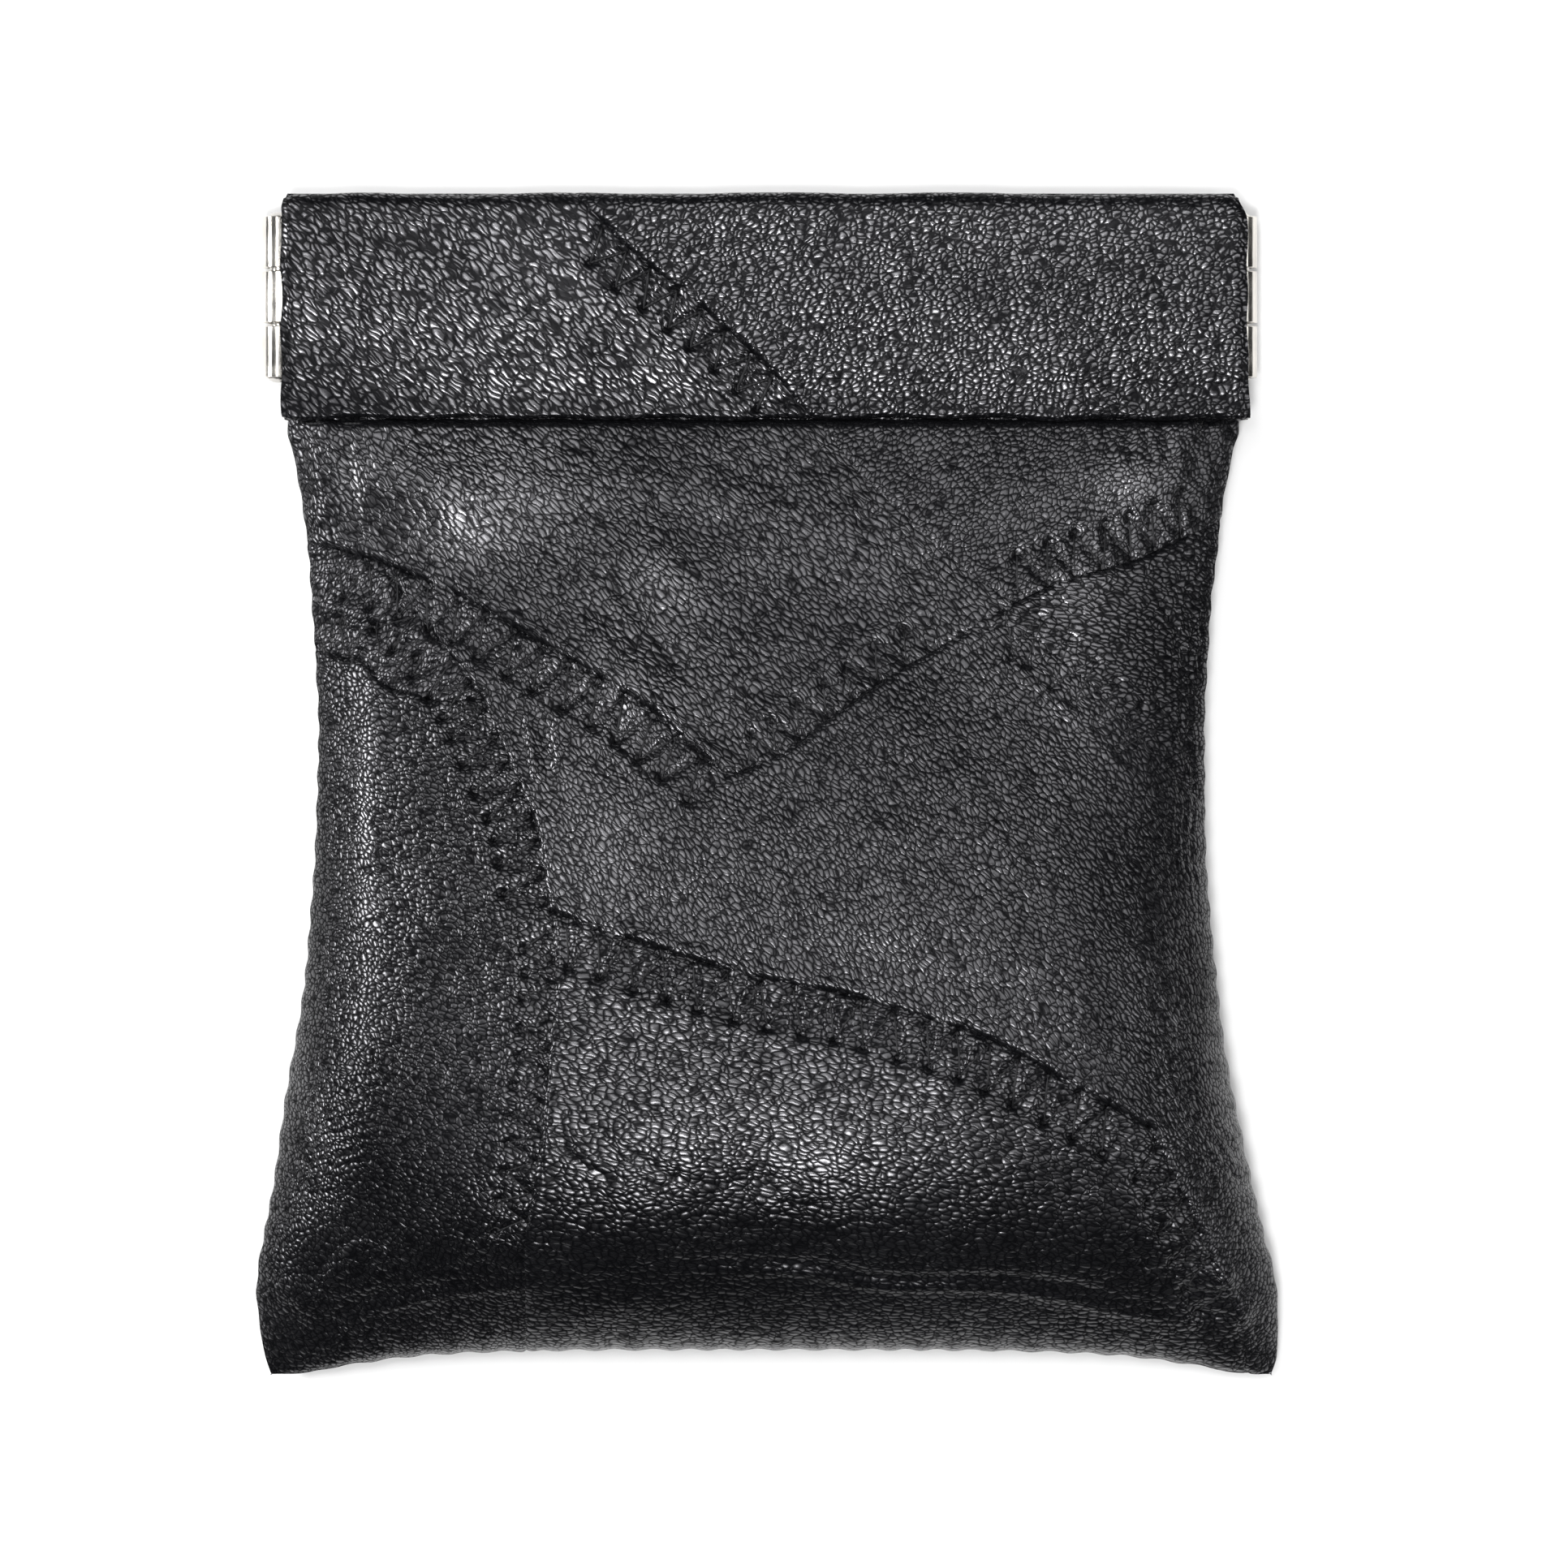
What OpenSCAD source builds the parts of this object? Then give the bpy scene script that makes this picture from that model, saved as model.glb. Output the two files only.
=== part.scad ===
// Squeeze-frame coin purse, lying on its back.
// X runs along the mouth, +Y points to the mouth, +Z points up off the table.
// Millimetres. The origin is under the middle of the purse, on the table.

/* [Pouch] */
// Height of the seam that joins the mouth casing to the patchwork panels
panel_top = 32.3; // [20:0.1:50]
// How far the middle of the bottom edge is below the origin
bottom_mid = 50.4; // [30:0.1:80]
// How much further down the two bottom corners hang
corner_drop = 2.3; // [0:0.1:8]
// Sideways offset of the leather body from the row origin
body_shift = -0.3; // [-3:0.1:3]
// Thickness of the leather patches
leather = 0.8; // [0.5:0.1:2]
// Thickness of the cloth lining
lining = 0.3; // [0.2:0.1:1]
// Gap between the front and the back half along the side seams
seam_gap = 0.3; // [0.1:0.1:1]
// Greatest rise of the front panel above its side seams
plump = 10.4; // [4:0.1:20]

/* [Mouth casing] */
// Upper fold of the casing above the origin
casing_top = 52.7; // [40:0.1:70]
// Lower edge of the casing above the origin
casing_low = 32.6; // [20:0.1:60]
// Half of the casing's length
casing_half = 43.0; // [30:0.1:60]
// Thickness of the casing's inner wall
inner_wall = 0.5; // [0.3:0.1:1]

/* [Spring frame] */
// Sideways offset of the frame in its casing
frame_shift = -0.7; // [-3:0.1:3]
// Half of the distance between the two hinge pins
pin_half = 43.0; // [30:0.1:60]
// Height of the spring strips
strip_h = 14.4; // [8:0.1:20]
// Thickness of the spring strips
strip_t = 0.5; // [0.3:0.1:1]
// Height of the strips' middle above the origin
strip_mid = 43.5; // [30:0.1:60]
// Half of the length of each strip's middle section, between the two bends
bend_half = 17.0; // [6:0.5:25]
// Free gap at each bend of a strip
bend_gap = 0.4; // [0.2:0.1:1]
// Outer diameter of the rolled hinge knuckles
knuckle_d = 3.0; // [2:0.1:5]
// Diameter of the hinge pins
pin_d = 1.6; // [1:0.1:2.4]
// Radial clearance of the pin in the middle knuckle on the left
run_fit = 0.05; // [0.01:0.01:0.1]
// Radial clearance of the pin in the middle knuckle on the right
open_fit = 0.1; // [0.05:0.01:0.3]

/* [Stitching] */
// Width of the zigzag seams
zig_w = 3.3; // [1:0.1:6]
// Length of one full zigzag
zig_pitch = 2.8; // [1:0.1:6]
// Thickness of the sewing thread
thread = 0.35; // [0.2:0.05:0.8]

/* [Hidden] */

mid_z = 2.5;                       // height of the plane between the two strips
pin_l = frame_shift - pin_half;    // x of the left pin
pin_r = frame_shift + pin_half;    // x of the right pin
knee_l = frame_shift - bend_half;  // x of the left bends
knee_r = frame_shift + bend_half;  // x of the right bends
y0 = strip_mid - strip_h / 2;
y1 = strip_mid + strip_h / 2;
kn_gap = 0.3;
kn_len = (strip_h - 2 * kn_gap) / 3;

black = [0.07, 0.07, 0.08];
black2 = [0.10, 0.10, 0.11];
black3 = [0.085, 0.085, 0.09];
steel = [0.75, 0.74, 0.70];
cloth = [0.05, 0.05, 0.06];
sewing = [0.04, 0.04, 0.05];

// ---------- outline and height of the stuffed pouch ----------

// half width of the body at each height
function half_w(y) = lookup(y, [
  [-53, 44.4], [-51.5, 45.0], [-49, 45.3], [-45, 45.5], [-40, 44.6], [-34, 43.3],
  [-27, 41.9], [-20, 40.9], [-12, 40.1], [-3, 39.6], [5, 39.5], [15, 40.1],
  [22, 40.7], [27, 41.4], [32.3, 42.4]]);
function y_low(u) = -bottom_mid - corner_drop * pow(abs(u), 5);

// height of the side seam, from the bottom (0) to the casing (1)
function seam_z(v) = lookup(v, [[0, 3], [0.08, 3.8], [0.2, 4.6], [0.5, 5], [0.8, 3.7], [1, 2.5]]);
// rise of the front above the seam, as a share of the greatest rise
function rise_f(v) = v >= 1 ? (1.5 - seam_gap / 2) : plump * lookup(v, [
  [0, 0], [0.015, 0.22], [0.04, 0.42], [0.08, 0.62], [0.13, 0.79], [0.2, 0.93],
  [0.3, 1], [0.4, 0.99], [0.52, 0.9], [0.65, 0.72], [0.78, 0.5], [0.88, 0.32],
  [0.95, 0.19], [1, 0.13]]);
// fall of the back below the seam
function fall_b(v) = v >= 1 ? (1.5 - seam_gap / 2) : lookup(v, [
  [0, 0], [0.015, 1.4], [0.04, 2.6], [0.08, 3.9], [0.13, 4.7], [0.2, 5.2],
  [0.5, 5.5], [0.7, 4.9], [0.85, 3.6], [0.95, 2.2], [1, 1.35]]);
function full_f(u, v) = let(n = lookup(v, [[0, 3.4], [0.3, 2.5], [0.7, 2.8], [1, 7]]))
  pow(max(0, 1 - pow(min(1, abs(u)), n)), 0.72);
function full_b(u, v) = let(n = lookup(v, [[0, 4], [0.5, 4.5], [1, 8]]))
  pow(max(0, 1 - pow(min(1, abs(u)), n)), 0.6);

// a point on the front (s = 1) or the back (s = -1), o inside the outer surface
function pt(u, v, o, s) =
  let(yl = y_low(u) + o, y = yl + v * (panel_top - yl))
  [body_shift + (half_w(y) - o) * u, y,
   s > 0 ? seam_z(v) + seam_gap / 2 + max(0, rise_f(v) - o) * full_f(u, v)
         : max(o, seam_z(v) - seam_gap / 2 - max(0, fall_b(v) - o) * full_b(u, v))];

// height of the front's or the back's outer surface over a plan position
function over(x, y, s) =
  let(u = max(-1, min(1, (x - body_shift) / half_w(y))), yl = y_low(u),
      v = max(0, min(1, (y - yl) / (panel_top - yl))))
  pt(u, v, 0, s)[2];

nu = 22;
nv = 18;
us = [for (i = [0:nu]) sin(90 * (2 * i / nu - 1))];
vs = [for (j = [0:nv]) pow(j / nv, 1.7)];

// closed shell between two depths below the outer surface
module shell(o1, o2, s) {
  a = [for (j = [0:nv]) for (i = [0:nu]) pt(us[i], vs[j], s > 0 ? o1 : o2, s)];
  b = [for (j = [0:nv]) for (i = [0:nu]) pt(us[i], vs[j], s > 0 ? o2 : o1, s)];
  m = (nu + 1) * (nv + 1);
  k = nu + 1;
  polyhedron(points = concat(a, b), faces = concat(
    [for (j = [0:nv - 1]) for (i = [0:nu - 1]) [j * k + i, (j + 1) * k + i, (j + 1) * k + i + 1]],
    [for (j = [0:nv - 1]) for (i = [0:nu - 1]) [j * k + i, (j + 1) * k + i + 1, j * k + i + 1]],
    [for (j = [0:nv - 1]) for (i = [0:nu - 1]) [m + j * k + i, m + (j + 1) * k + i + 1, m + (j + 1) * k + i]],
    [for (j = [0:nv - 1]) for (i = [0:nu - 1]) [m + j * k + i, m + j * k + i + 1, m + (j + 1) * k + i + 1]],
    [for (i = [0:nu - 1]) [i, i + 1, m + i + 1]],
    [for (i = [0:nu - 1]) [i, m + i + 1, m + i]],
    [for (i = [0:nu - 1]) [nv * k + i + 1, nv * k + i, m + nv * k + i]],
    [for (i = [0:nu - 1]) [nv * k + i + 1, m + nv * k + i, m + nv * k + i + 1]],
    [for (j = [0:nv - 1]) [(j + 1) * k, j * k, m + j * k]],
    [for (j = [0:nv - 1]) [(j + 1) * k, m + j * k, m + (j + 1) * k]],
    [for (j = [0:nv - 1]) [j * k + nu, (j + 1) * k + nu, m + (j + 1) * k + nu]],
    [for (j = [0:nv - 1]) [j * k + nu, m + (j + 1) * k + nu, m + j * k + nu]]));
}

// ---------- seam lines of the patchwork, in plan ----------

diag_top = [[-17.2, 52.7], [-11.9, 47.4], [-6.9, 43.6], [-0.4, 37.6], [4.2, 32.3]];
diag = [[4.2, 33], [8, 28], [12.7, 23.5], [17.7, 19], [22, 16.1]];
v_left = [[-42, 21.8], [-37.5, 20.6], [-34.5, 19.7], [-31.1, 18.4], [-26, 16], [-20.9, 13], [-15.6, 9.8], [-10.7, 6.8], [-3.6, 0.9]];
v_right = [[-3.6, 0.9], [0.9, 2.6], [6.2, 6.5], [10.8, 9.7], [17.2, 13.3]];
v_rise_a = [[17.2, 13.3], [19.5, 14.8], [22, 16.1]];
v_rise_b = [[22, 16.1], [24.8, 17.4], [28.3, 18.6], [33.3, 20.2], [42.5, 24.5]];
arc = [[17.2, 13.3], [19.5, 13.8], [22.7, 13.5], [24.8, 12.1], [28.3, 9.3], [31.5, 6.2], [34.5, 3], [40.5, -3.5]];
c_up = [[-34.5, 19.7], [-31.5, 15.6], [-27.9, 11.2], [-25.2, 7.6]];
c_low = [[-25.2, 7.6], [-22.7, 1.7], [-20.5, -3.6], [-19.2, -11.2]];
c_seam = concat(c_up, [for (i = [1:3]) c_low[i]]);
d_seam = [[-19.2, -11.2], [-11.2, -13.9], [-1.8, -16.7], [6.8, -18.5], [14.7, -20.8], [20, -22.7], [28, -27.1], [33.7, -30.2]];
d_end = [[33.7, -30.2], [43.5, -36.4]];
e_seam = [[-19.2, -11.2], [-18.6, -15.9], [-19, -22], [-20.3, -34], [-21.2, -39.1], [-21.4, -55]];
h_seam = [[-42, 12.5], [-38.1, 11.4], [-35.7, 10.9], [-33.9, 8.8], [-31, 8], [-28.8, 7.4], [-25.2, 7.6]];
g_seam = [[33.7, -30.2], [35.9, -34.4], [39.4, -42.4], [41.8, -47], [43.6, -55]];

function rev(p) = [for (i = [len(p) - 1:-1:0]) p[i]];

p_top_left = concat([[-60, 40], [0, 40]], [[4.2, 40]], diag, rev(v_rise_a), rev(v_right), rev(v_left), [[-60, 21.8]]);
p_top_right = concat([[4.2, 40]], diag, v_rise_b, [[60, 24.5], [60, 40]]);
p_centre = concat(c_seam, d_seam, d_end, [[60, -36.4], [60, -3.5]], rev(arc), rev(v_right),
  [for (i = [len(v_left) - 2:-1:3]) v_left[i]]);
p_right = concat(v_rise_a, v_rise_b, [[60, 24.5], [60, -3.5]], rev(arc));
p_left_edge = concat(h_seam, rev(c_up), [v_left[1], [-42, 21.8], [-60, 21.8], [-60, 12.5]]);
p_left = concat([[-60, 12.5]], h_seam, c_low, e_seam, [[-60, -55]]);
p_lower = concat(d_seam, g_seam, rev(e_seam));
p_corner = concat(d_end, [[60, -36.4], [60, -55]], rev(g_seam));

b_t = [[-60, 2], [-30, 4.5], [-12, 9], [5, 7], [24, 12], [60, 9]];
b_m = [[-12, 9], [-9, -10], [-4, -26], [-6, -60]];
q_top = concat([[-60, 40]], b_t, [[60, 40]]);
q_left = concat([[-60, 2], [-30, 4.5]], b_m, [[-60, -60]]);
q_right = concat([for (i = [2:5]) b_t[i]], [[60, -60]], rev(b_m));

module front_patch(p) intersection() {
  shell(0, leather, 1);
  translate([0, 0, -5]) linear_extrude(40) polygon(p);
}
module back_patch(p) intersection() {
  shell(0, leather, -1);
  translate([0, 0, -5]) linear_extrude(40) polygon(p);
}

// ---------- stitches ----------

function seg_len(p, i) = norm(p[i + 1] - p[i]);
function run_len(p, i) = i <= 0 ? 0 : run_len(p, i - 1) + seg_len(p, i - 1);
function at(p, s, i = 0) = (i >= len(p) - 2 || s <= seg_len(p, i))
  ? let(d = (p[i + 1] - p[i]) / seg_len(p, i)) [p[i] + d * s, d]
  : at(p, s - seg_len(p, i), i + 1);
function aside(p, s, o) = let(a = at(p, s)) a[0] + o * [a[1][1], -a[1][0]];

// straight length of thread between two points in space
module bar(a, b) {
  d = b - a;
  l = norm(d);
  translate(a)
    rotate([0, 0, atan2(d[1], d[0])])
      rotate([0, -asin(d[2] / l), 0])
        translate([0, -thread / 2, -thread / 2]) cube([l, thread, thread]);
}
// zigzag over one side of a seam line, on the front (s = 1) or back (s = -1)
module zigzag(p, s, side, from = 0.8, to = 0.8) {
  n = floor((run_len(p, len(p) - 1) - from - to) / (zig_pitch / 2));
  q = [for (k = [0:n]) aside(p, from + k * zig_pitch / 2, side * (k % 2 == 0 ? 0.25 : zig_w))];
  // on the front the thread stands proud, under the back it is pressed in flush
  up = s > 0 ? 0.12 : thread / 2 + 0.05;
  for (k = [0:n - 1])
    bar([q[k][0], q[k][1], over(q[k][0], q[k][1], s) + up],
        [q[k + 1][0], q[k + 1][1], over(q[k + 1][0], q[k + 1][1], s) + up]);
}

// ---------- seam allowances turned in along the sides and the bottom ----------

module sweep(a, dx, dy, dz) {
  n = len(a);
  polyhedron(points = [for (q = a) each [q + [-dx, -dy, -dz], q + [dx, dy, -dz], q + [dx, dy, dz], q + [-dx, -dy, dz]]],
    faces = concat([[0, 1, 2, 3]], [[4 * n - 1, 4 * n - 2, 4 * n - 3, 4 * n - 4]],
      [for (i = [0:n - 2]) for (k = [0:3]) [4 * i + k, 4 * i + 4 + k, 4 * i + (k + 1) % 4]],
      [for (i = [0:n - 2]) for (k = [0:3]) [4 * i + (k + 1) % 4, 4 * i + 4 + k, 4 * i + 4 + (k + 1) % 4]]));
}
side_v = [for (j = [0:10]) 0.1 + 0.085 * j];
module side_seam(s) {
  a = [for (v = s > 0 ? side_v : rev(side_v)) let(q = pt(s, v, 0, 1)) [q[0] - s * 4.1, q[1], seam_z(v)]];
  sweep(s > 0 ? rev(a) : rev(a), 1.5, 0, 0.45);
}
module side_thread(s) {
  for (j = [0:21]) let(v = 0.11 + 0.037 * j, q = pt(s, v, 0, 1))
    translate([q[0] - s * 3.3 - thread / 2, q[1] - 0.9, seam_z(v) - 0.5]) cube([thread, 1.8, 1]);
}

// ---------- spring frame ----------

// flat part of a strip between two x values, on the back (s = -1) or front (s = 1)
module strip(xa, xb, s)
  translate([xa, y0, s > 0 ? mid_z + knuckle_d / 2 - strip_t : mid_z - knuckle_d / 2])
    cube([xb - xa, strip_h, strip_t]);

module knuckle(x, ya, len, bore)
  translate([x, ya, mid_z]) rotate([-90, 0, 0])
    difference() {
      cylinder(d = knuckle_d, h = len, $fn = 48);
      translate([0, 0, -1]) cylinder(d = bore, h = len + 2, $fn = 48);
    }

// end of a strip: side = -1 left, 1 right; s as above; outer = two knuckles or one
module strip_end(side, s, outer, bore) {
  px = side < 0 ? pin_l : pin_r;
  kx = side < 0 ? knee_l : knee_r;
  flat = px - side * 2.1;
  zt = s > 0 ? mid_z + knuckle_d / 2 - strip_t : mid_z - knuckle_d / 2;
  spans = outer ? [[y0, kn_len], [y1 - kn_len, kn_len]] : [[y0 + kn_len + kn_gap, kn_len]];
  difference() {
    union() {
      strip(min(flat, kx + side * bend_gap), max(flat, kx + side * bend_gap), s);
      for (q = spans) {
        translate([min(flat - side * 0.2, px), q[0], zt]) cube([abs(px - flat) + 0.2, q[1], strip_t]);
        translate([px, q[0], mid_z]) rotate([-90, 0, 0]) cylinder(d = knuckle_d, h = q[1], $fn = 48);
      }
    }
    translate([px, y0 - 1, mid_z]) rotate([-90, 0, 0]) cylinder(d = bore, h = strip_h + 2, $fn = 48);
  }
}

// ---------- mouth casing, a leather tube around each strip ----------

wall_o = 0.8;
module casing_profile(s) {
  zo = 2.5;            // outside of the casing above the middle plane
  zi = 0.15;           // inside face of the inner wall above the middle plane
  r = (zo - zi) / 2;
  c = casing_top - r;
  mirror([0, s > 0 ? 0 : 1]) union() {
    translate([casing_low, zo - wall_o]) square([c - casing_low, wall_o]);
    translate([casing_low + 0.9, zi]) square([c - casing_low - 0.9, inner_wall]);
    translate([c, zi + r]) intersection() {
      difference() {
        circle(r = r, $fn = 48);
        circle(r = r - inner_wall, $fn = 48);
      }
      translate([0, -r]) square([r, 2 * r]);
    }
  }
}
// length of casing from xa to xb
module casing(xa, xb, s) {
  difference() {
    translate([xa, 0, mid_z]) rotate([90, 0, 90]) linear_extrude(xb - xa) casing_profile(s);
    // the inner wall stops short of the hinges
    translate([pin_l - 5, casing_low - 1, s > 0 ? mid_z : mid_z - zi_cut]) cube([7.2, 25, zi_cut]);
    translate([pin_r - 2.2, casing_low - 1, s > 0 ? mid_z : mid_z - zi_cut]) cube([7.2, 25, zi_cut]);
  }
}
zi_cut = 1.7;

// the part of the outer wall that lies left of its diagonal seam
module left_of_diagonal() translate([0, 0, mid_z + 1.6]) linear_extrude(3)
  polygon(concat([[-17.2, 60]], diag_top, [[4.2, 20], [-60, 20], [-60, 60]]));

// ---------- the separate pieces ----------

module back_strip_left() color(steel) strip_end(-1, -1, true, pin_d);
module back_strip_middle() color(steel) strip(knee_l + bend_gap, knee_r - bend_gap, -1);
module back_strip_right() color(steel) strip_end(1, -1, true, pin_d);
module front_strip_left() color(steel) strip_end(-1, 1, false, pin_d + 2 * run_fit);
module front_strip_middle() color(steel) strip(knee_l + bend_gap, knee_r - bend_gap, 1);
module front_strip_right() color(steel) strip_end(1, 1, false, pin_d + 2 * open_fit);
module left_hinge_pin() color(steel)
  translate([pin_l, y0, mid_z]) rotate([-90, 0, 0]) cylinder(d = pin_d, h = strip_h, $fn = 48);
module right_hinge_pin() color(steel)
  translate([pin_r, y0, mid_z]) rotate([-90, 0, 0]) cylinder(d = pin_d, h = strip_h, $fn = 48);

module front_casing_left_end() color(black) casing(-casing_half, knee_l - bend_gap, 1);
module front_casing_left() color(black) intersection() {
  casing(knee_l + bend_gap, knee_r - bend_gap, 1);
  left_of_diagonal();
}
module front_casing_right() color(black2) difference() {
  casing(knee_l + bend_gap, knee_r - bend_gap, 1);
  left_of_diagonal();
}
module front_casing_right_end() color(black2) casing(knee_r + bend_gap, casing_half, 1);
module back_casing_left_end() color(black) casing(-casing_half, knee_l - bend_gap, -1);
module back_casing_middle() color(black) casing(knee_l + bend_gap, knee_r - bend_gap, -1);
module back_casing_right_end() color(black) casing(knee_r + bend_gap, casing_half, -1);

module front_patch_top_left() color(black2) front_patch(p_top_left);
module front_patch_top_right() color(black) front_patch(p_top_right);
module front_patch_centre() color(black3) front_patch(p_centre);
module front_patch_right() color(black2) front_patch(p_right);
module front_patch_left() color(black) front_patch(p_left);
module front_patch_left_edge() color(black2) front_patch(p_left_edge);
module front_patch_lower() color(black2) front_patch(p_lower);
module front_patch_corner() color(black) front_patch(p_corner);
module back_patch_top() color(black) back_patch(q_top);
module back_patch_left() color(black2) back_patch(q_left);
module back_patch_right() color(black3) back_patch(q_right);

module front_lining() color(cloth) shell(leather + 0.2, leather + 0.2 + lining, 1);
module back_lining() color(cloth) shell(leather + 0.2, leather + 0.2 + lining, -1);

module left_side_seam() color(black) side_seam(-1);
module right_side_seam() color(black) side_seam(1);
module bottom_seam() color(black) translate([body_shift - 30, -bottom_mid + 3.8, 2.55]) cube([60, 3, 0.9]);
module left_seam_thread() color(sewing) side_thread(-1);
module right_seam_thread() color(sewing) side_thread(1);
module bottom_seam_thread() color(sewing) for (i = [0:23])
  translate([body_shift - 29 + 2.5 * i, -bottom_mid + 4.6, 2.4]) cube([1.8, thread, 1.2]);
module front_casing_thread() color(sewing) for (i = [0:15])
  translate([body_shift - 38.5 + 5 * i, panel_top - 0.8, over(-38.5 + 5 * i, panel_top - 0.6, 1) - 0.25]) cube([2.2, thread, thread]);
module back_casing_thread() color(sewing) for (i = [0:15])
  translate([body_shift - 38.5 + 5 * i, panel_top - 0.8, over(-38.5 + 5 * i, panel_top - 0.6, -1) - 0.05]) cube([2.2, thread, thread]);

module front_zigzag_thread() color(sewing) {
  zigzag(diag, 1, 1, 2, 4.5);
  zigzag(v_left, 1, 1, 4, 1);
  zigzag(v_right, 1, -1, 2, 1);
  zigzag(v_rise_b, 1, -1, 1, 3.5);
  zigzag(arc, 1, 1, 4, 10);
  zigzag(c_seam, 1, 1, 2, 1);
  zigzag(d_seam, 1, 1, 1, 1);
  zigzag(e_seam, 1, 1, 1, 8);
  zigzag(h_seam, 1, -1, 3, 6);
  zigzag(g_seam, 1, 1, 1, 7);
}
module casing_zigzag_thread() color(sewing) {
  n = 11;
  q = [for (k = [0:n]) aside(diag_top, 6.6 + k * 1.75, k % 2 == 0 ? 0.25 : zig_w)];
  for (k = [0:n - 1])
    bar([q[k][0], q[k][1], 5], [q[k + 1][0], q[k + 1][1], 5]);
}
module back_zigzag_thread() color(sewing) {
  zigzag([[-38, 3.8], [-30, 4.5], [-12, 9]], -1, 1, 1, 1);
  zigzag([[-12, 9], [5, 7], [24, 12], [38, 10.5]], -1, 1, 1, 1);
  zigzag([[-12, 9], [-9, -10], [-4, -26], [-5, -48]], -1, 1, 5, 4);
}

back_strip_left();
back_strip_middle();
back_strip_right();
front_strip_left();
front_strip_middle();
front_strip_right();
left_hinge_pin();
right_hinge_pin();
front_casing_left_end();
front_casing_left();
front_casing_right();
front_casing_right_end();
back_casing_left_end();
back_casing_middle();
back_casing_right_end();
front_patch_top_left();
front_patch_top_right();
front_patch_centre();
front_patch_right();
front_patch_left();
front_patch_left_edge();
front_patch_lower();
front_patch_corner();
back_patch_top();
back_patch_left();
back_patch_right();
front_lining();
back_lining();
left_side_seam();
right_side_seam();
bottom_seam();
left_seam_thread();
right_seam_thread();
bottom_seam_thread();
front_casing_thread();
back_casing_thread();
front_zigzag_thread();
casing_zigzag_thread();
back_zigzag_thread();
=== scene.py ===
import math

import bpy
import numpy as np
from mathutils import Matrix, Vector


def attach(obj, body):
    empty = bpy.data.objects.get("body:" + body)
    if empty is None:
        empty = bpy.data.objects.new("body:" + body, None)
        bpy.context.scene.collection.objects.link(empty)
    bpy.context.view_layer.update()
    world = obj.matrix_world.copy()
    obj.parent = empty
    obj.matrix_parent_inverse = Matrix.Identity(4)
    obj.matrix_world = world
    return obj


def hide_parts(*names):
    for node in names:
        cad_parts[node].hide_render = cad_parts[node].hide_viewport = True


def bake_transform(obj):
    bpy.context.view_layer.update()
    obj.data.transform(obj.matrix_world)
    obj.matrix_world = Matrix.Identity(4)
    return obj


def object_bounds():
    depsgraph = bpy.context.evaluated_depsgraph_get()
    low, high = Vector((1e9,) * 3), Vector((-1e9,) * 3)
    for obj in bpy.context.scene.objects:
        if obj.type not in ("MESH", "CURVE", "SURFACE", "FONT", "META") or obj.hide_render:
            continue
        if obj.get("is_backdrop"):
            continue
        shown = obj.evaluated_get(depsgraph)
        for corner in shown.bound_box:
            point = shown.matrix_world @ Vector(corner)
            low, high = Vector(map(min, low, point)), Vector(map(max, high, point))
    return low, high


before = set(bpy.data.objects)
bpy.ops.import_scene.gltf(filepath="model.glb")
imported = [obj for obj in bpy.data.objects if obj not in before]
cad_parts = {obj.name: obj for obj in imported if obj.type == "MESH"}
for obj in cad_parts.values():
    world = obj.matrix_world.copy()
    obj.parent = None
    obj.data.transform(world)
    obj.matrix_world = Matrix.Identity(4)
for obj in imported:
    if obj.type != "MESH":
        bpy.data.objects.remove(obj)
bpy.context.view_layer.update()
MM = 0.001

# ---------------------------------------------------------------- sizes, in millimetres
MID = 2.5                      # height of the plane between the two spring strips
TOP = 32.3                     # where the panels go under the casing
PIN_L, PIN_R = -43.7, 42.3
FSHIFT, BEND, LINK = -0.7, 17.0, 26.0
Y0, Y1 = 36.3, 50.7            # lower and upper edge of the spring strips
THETA, PSI = math.radians(30.0), math.radians(8.724)
LEATHER = 0.8


def pchip(xs, ys, x):
    """Smooth curve through the points, without overshoot."""
    xs, ys = np.array(xs, float), np.array(ys, float)
    x = np.clip(x, xs[0], xs[-1])
    h, d = np.diff(xs), np.diff(ys) / np.diff(xs)
    m = np.zeros_like(ys)
    m[0], m[-1] = d[0], d[-1]
    for k in range(1, len(xs) - 1):
        if d[k - 1] * d[k] > 0:
            w1, w2 = 2 * h[k] + h[k - 1], h[k] + 2 * h[k - 1]
            m[k] = (w1 + w2) / (w1 / d[k - 1] + w2 / d[k])
    i = np.clip(np.searchsorted(xs, x, side="right") - 1, 0, len(h) - 1)
    t = (x - xs[i]) / h[i]
    return ((2 * t**3 - 3 * t**2 + 1) * ys[i] + (t**3 - 2 * t**2 + t) * h[i] * m[i]
            + (-2 * t**3 + 3 * t**2) * ys[i + 1] + (t**3 - t**2) * h[i] * m[i + 1])


def step(a, b, x):
    t = np.clip((x - a) / (b - a), 0, 1)
    return t * t * (3 - 2 * t)


def noise(x, y, size, seed):
    """Smooth value noise from -1 to 1 with features of that size."""
    g = np.random.default_rng(seed).uniform(-1, 1, (64, 64))
    X, Y = x / size + 100.0, y / size + 100.0
    i, j = np.floor(X).astype(int), np.floor(Y).astype(int)
    fx, fy = X - i, Y - j
    fx, fy = fx**3 * (fx * (6 * fx - 15) + 10), fy**3 * (fy * (6 * fy - 15) + 10)
    a, b = g[i % 64, j % 64], g[(i + 1) % 64, j % 64]
    c, d = g[i % 64, (j + 1) % 64], g[(i + 1) % 64, (j + 1) % 64]
    return (a + (b - a) * fx) + ((c + (d - c) * fx) - (a + (b - a) * fx)) * fy


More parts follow.
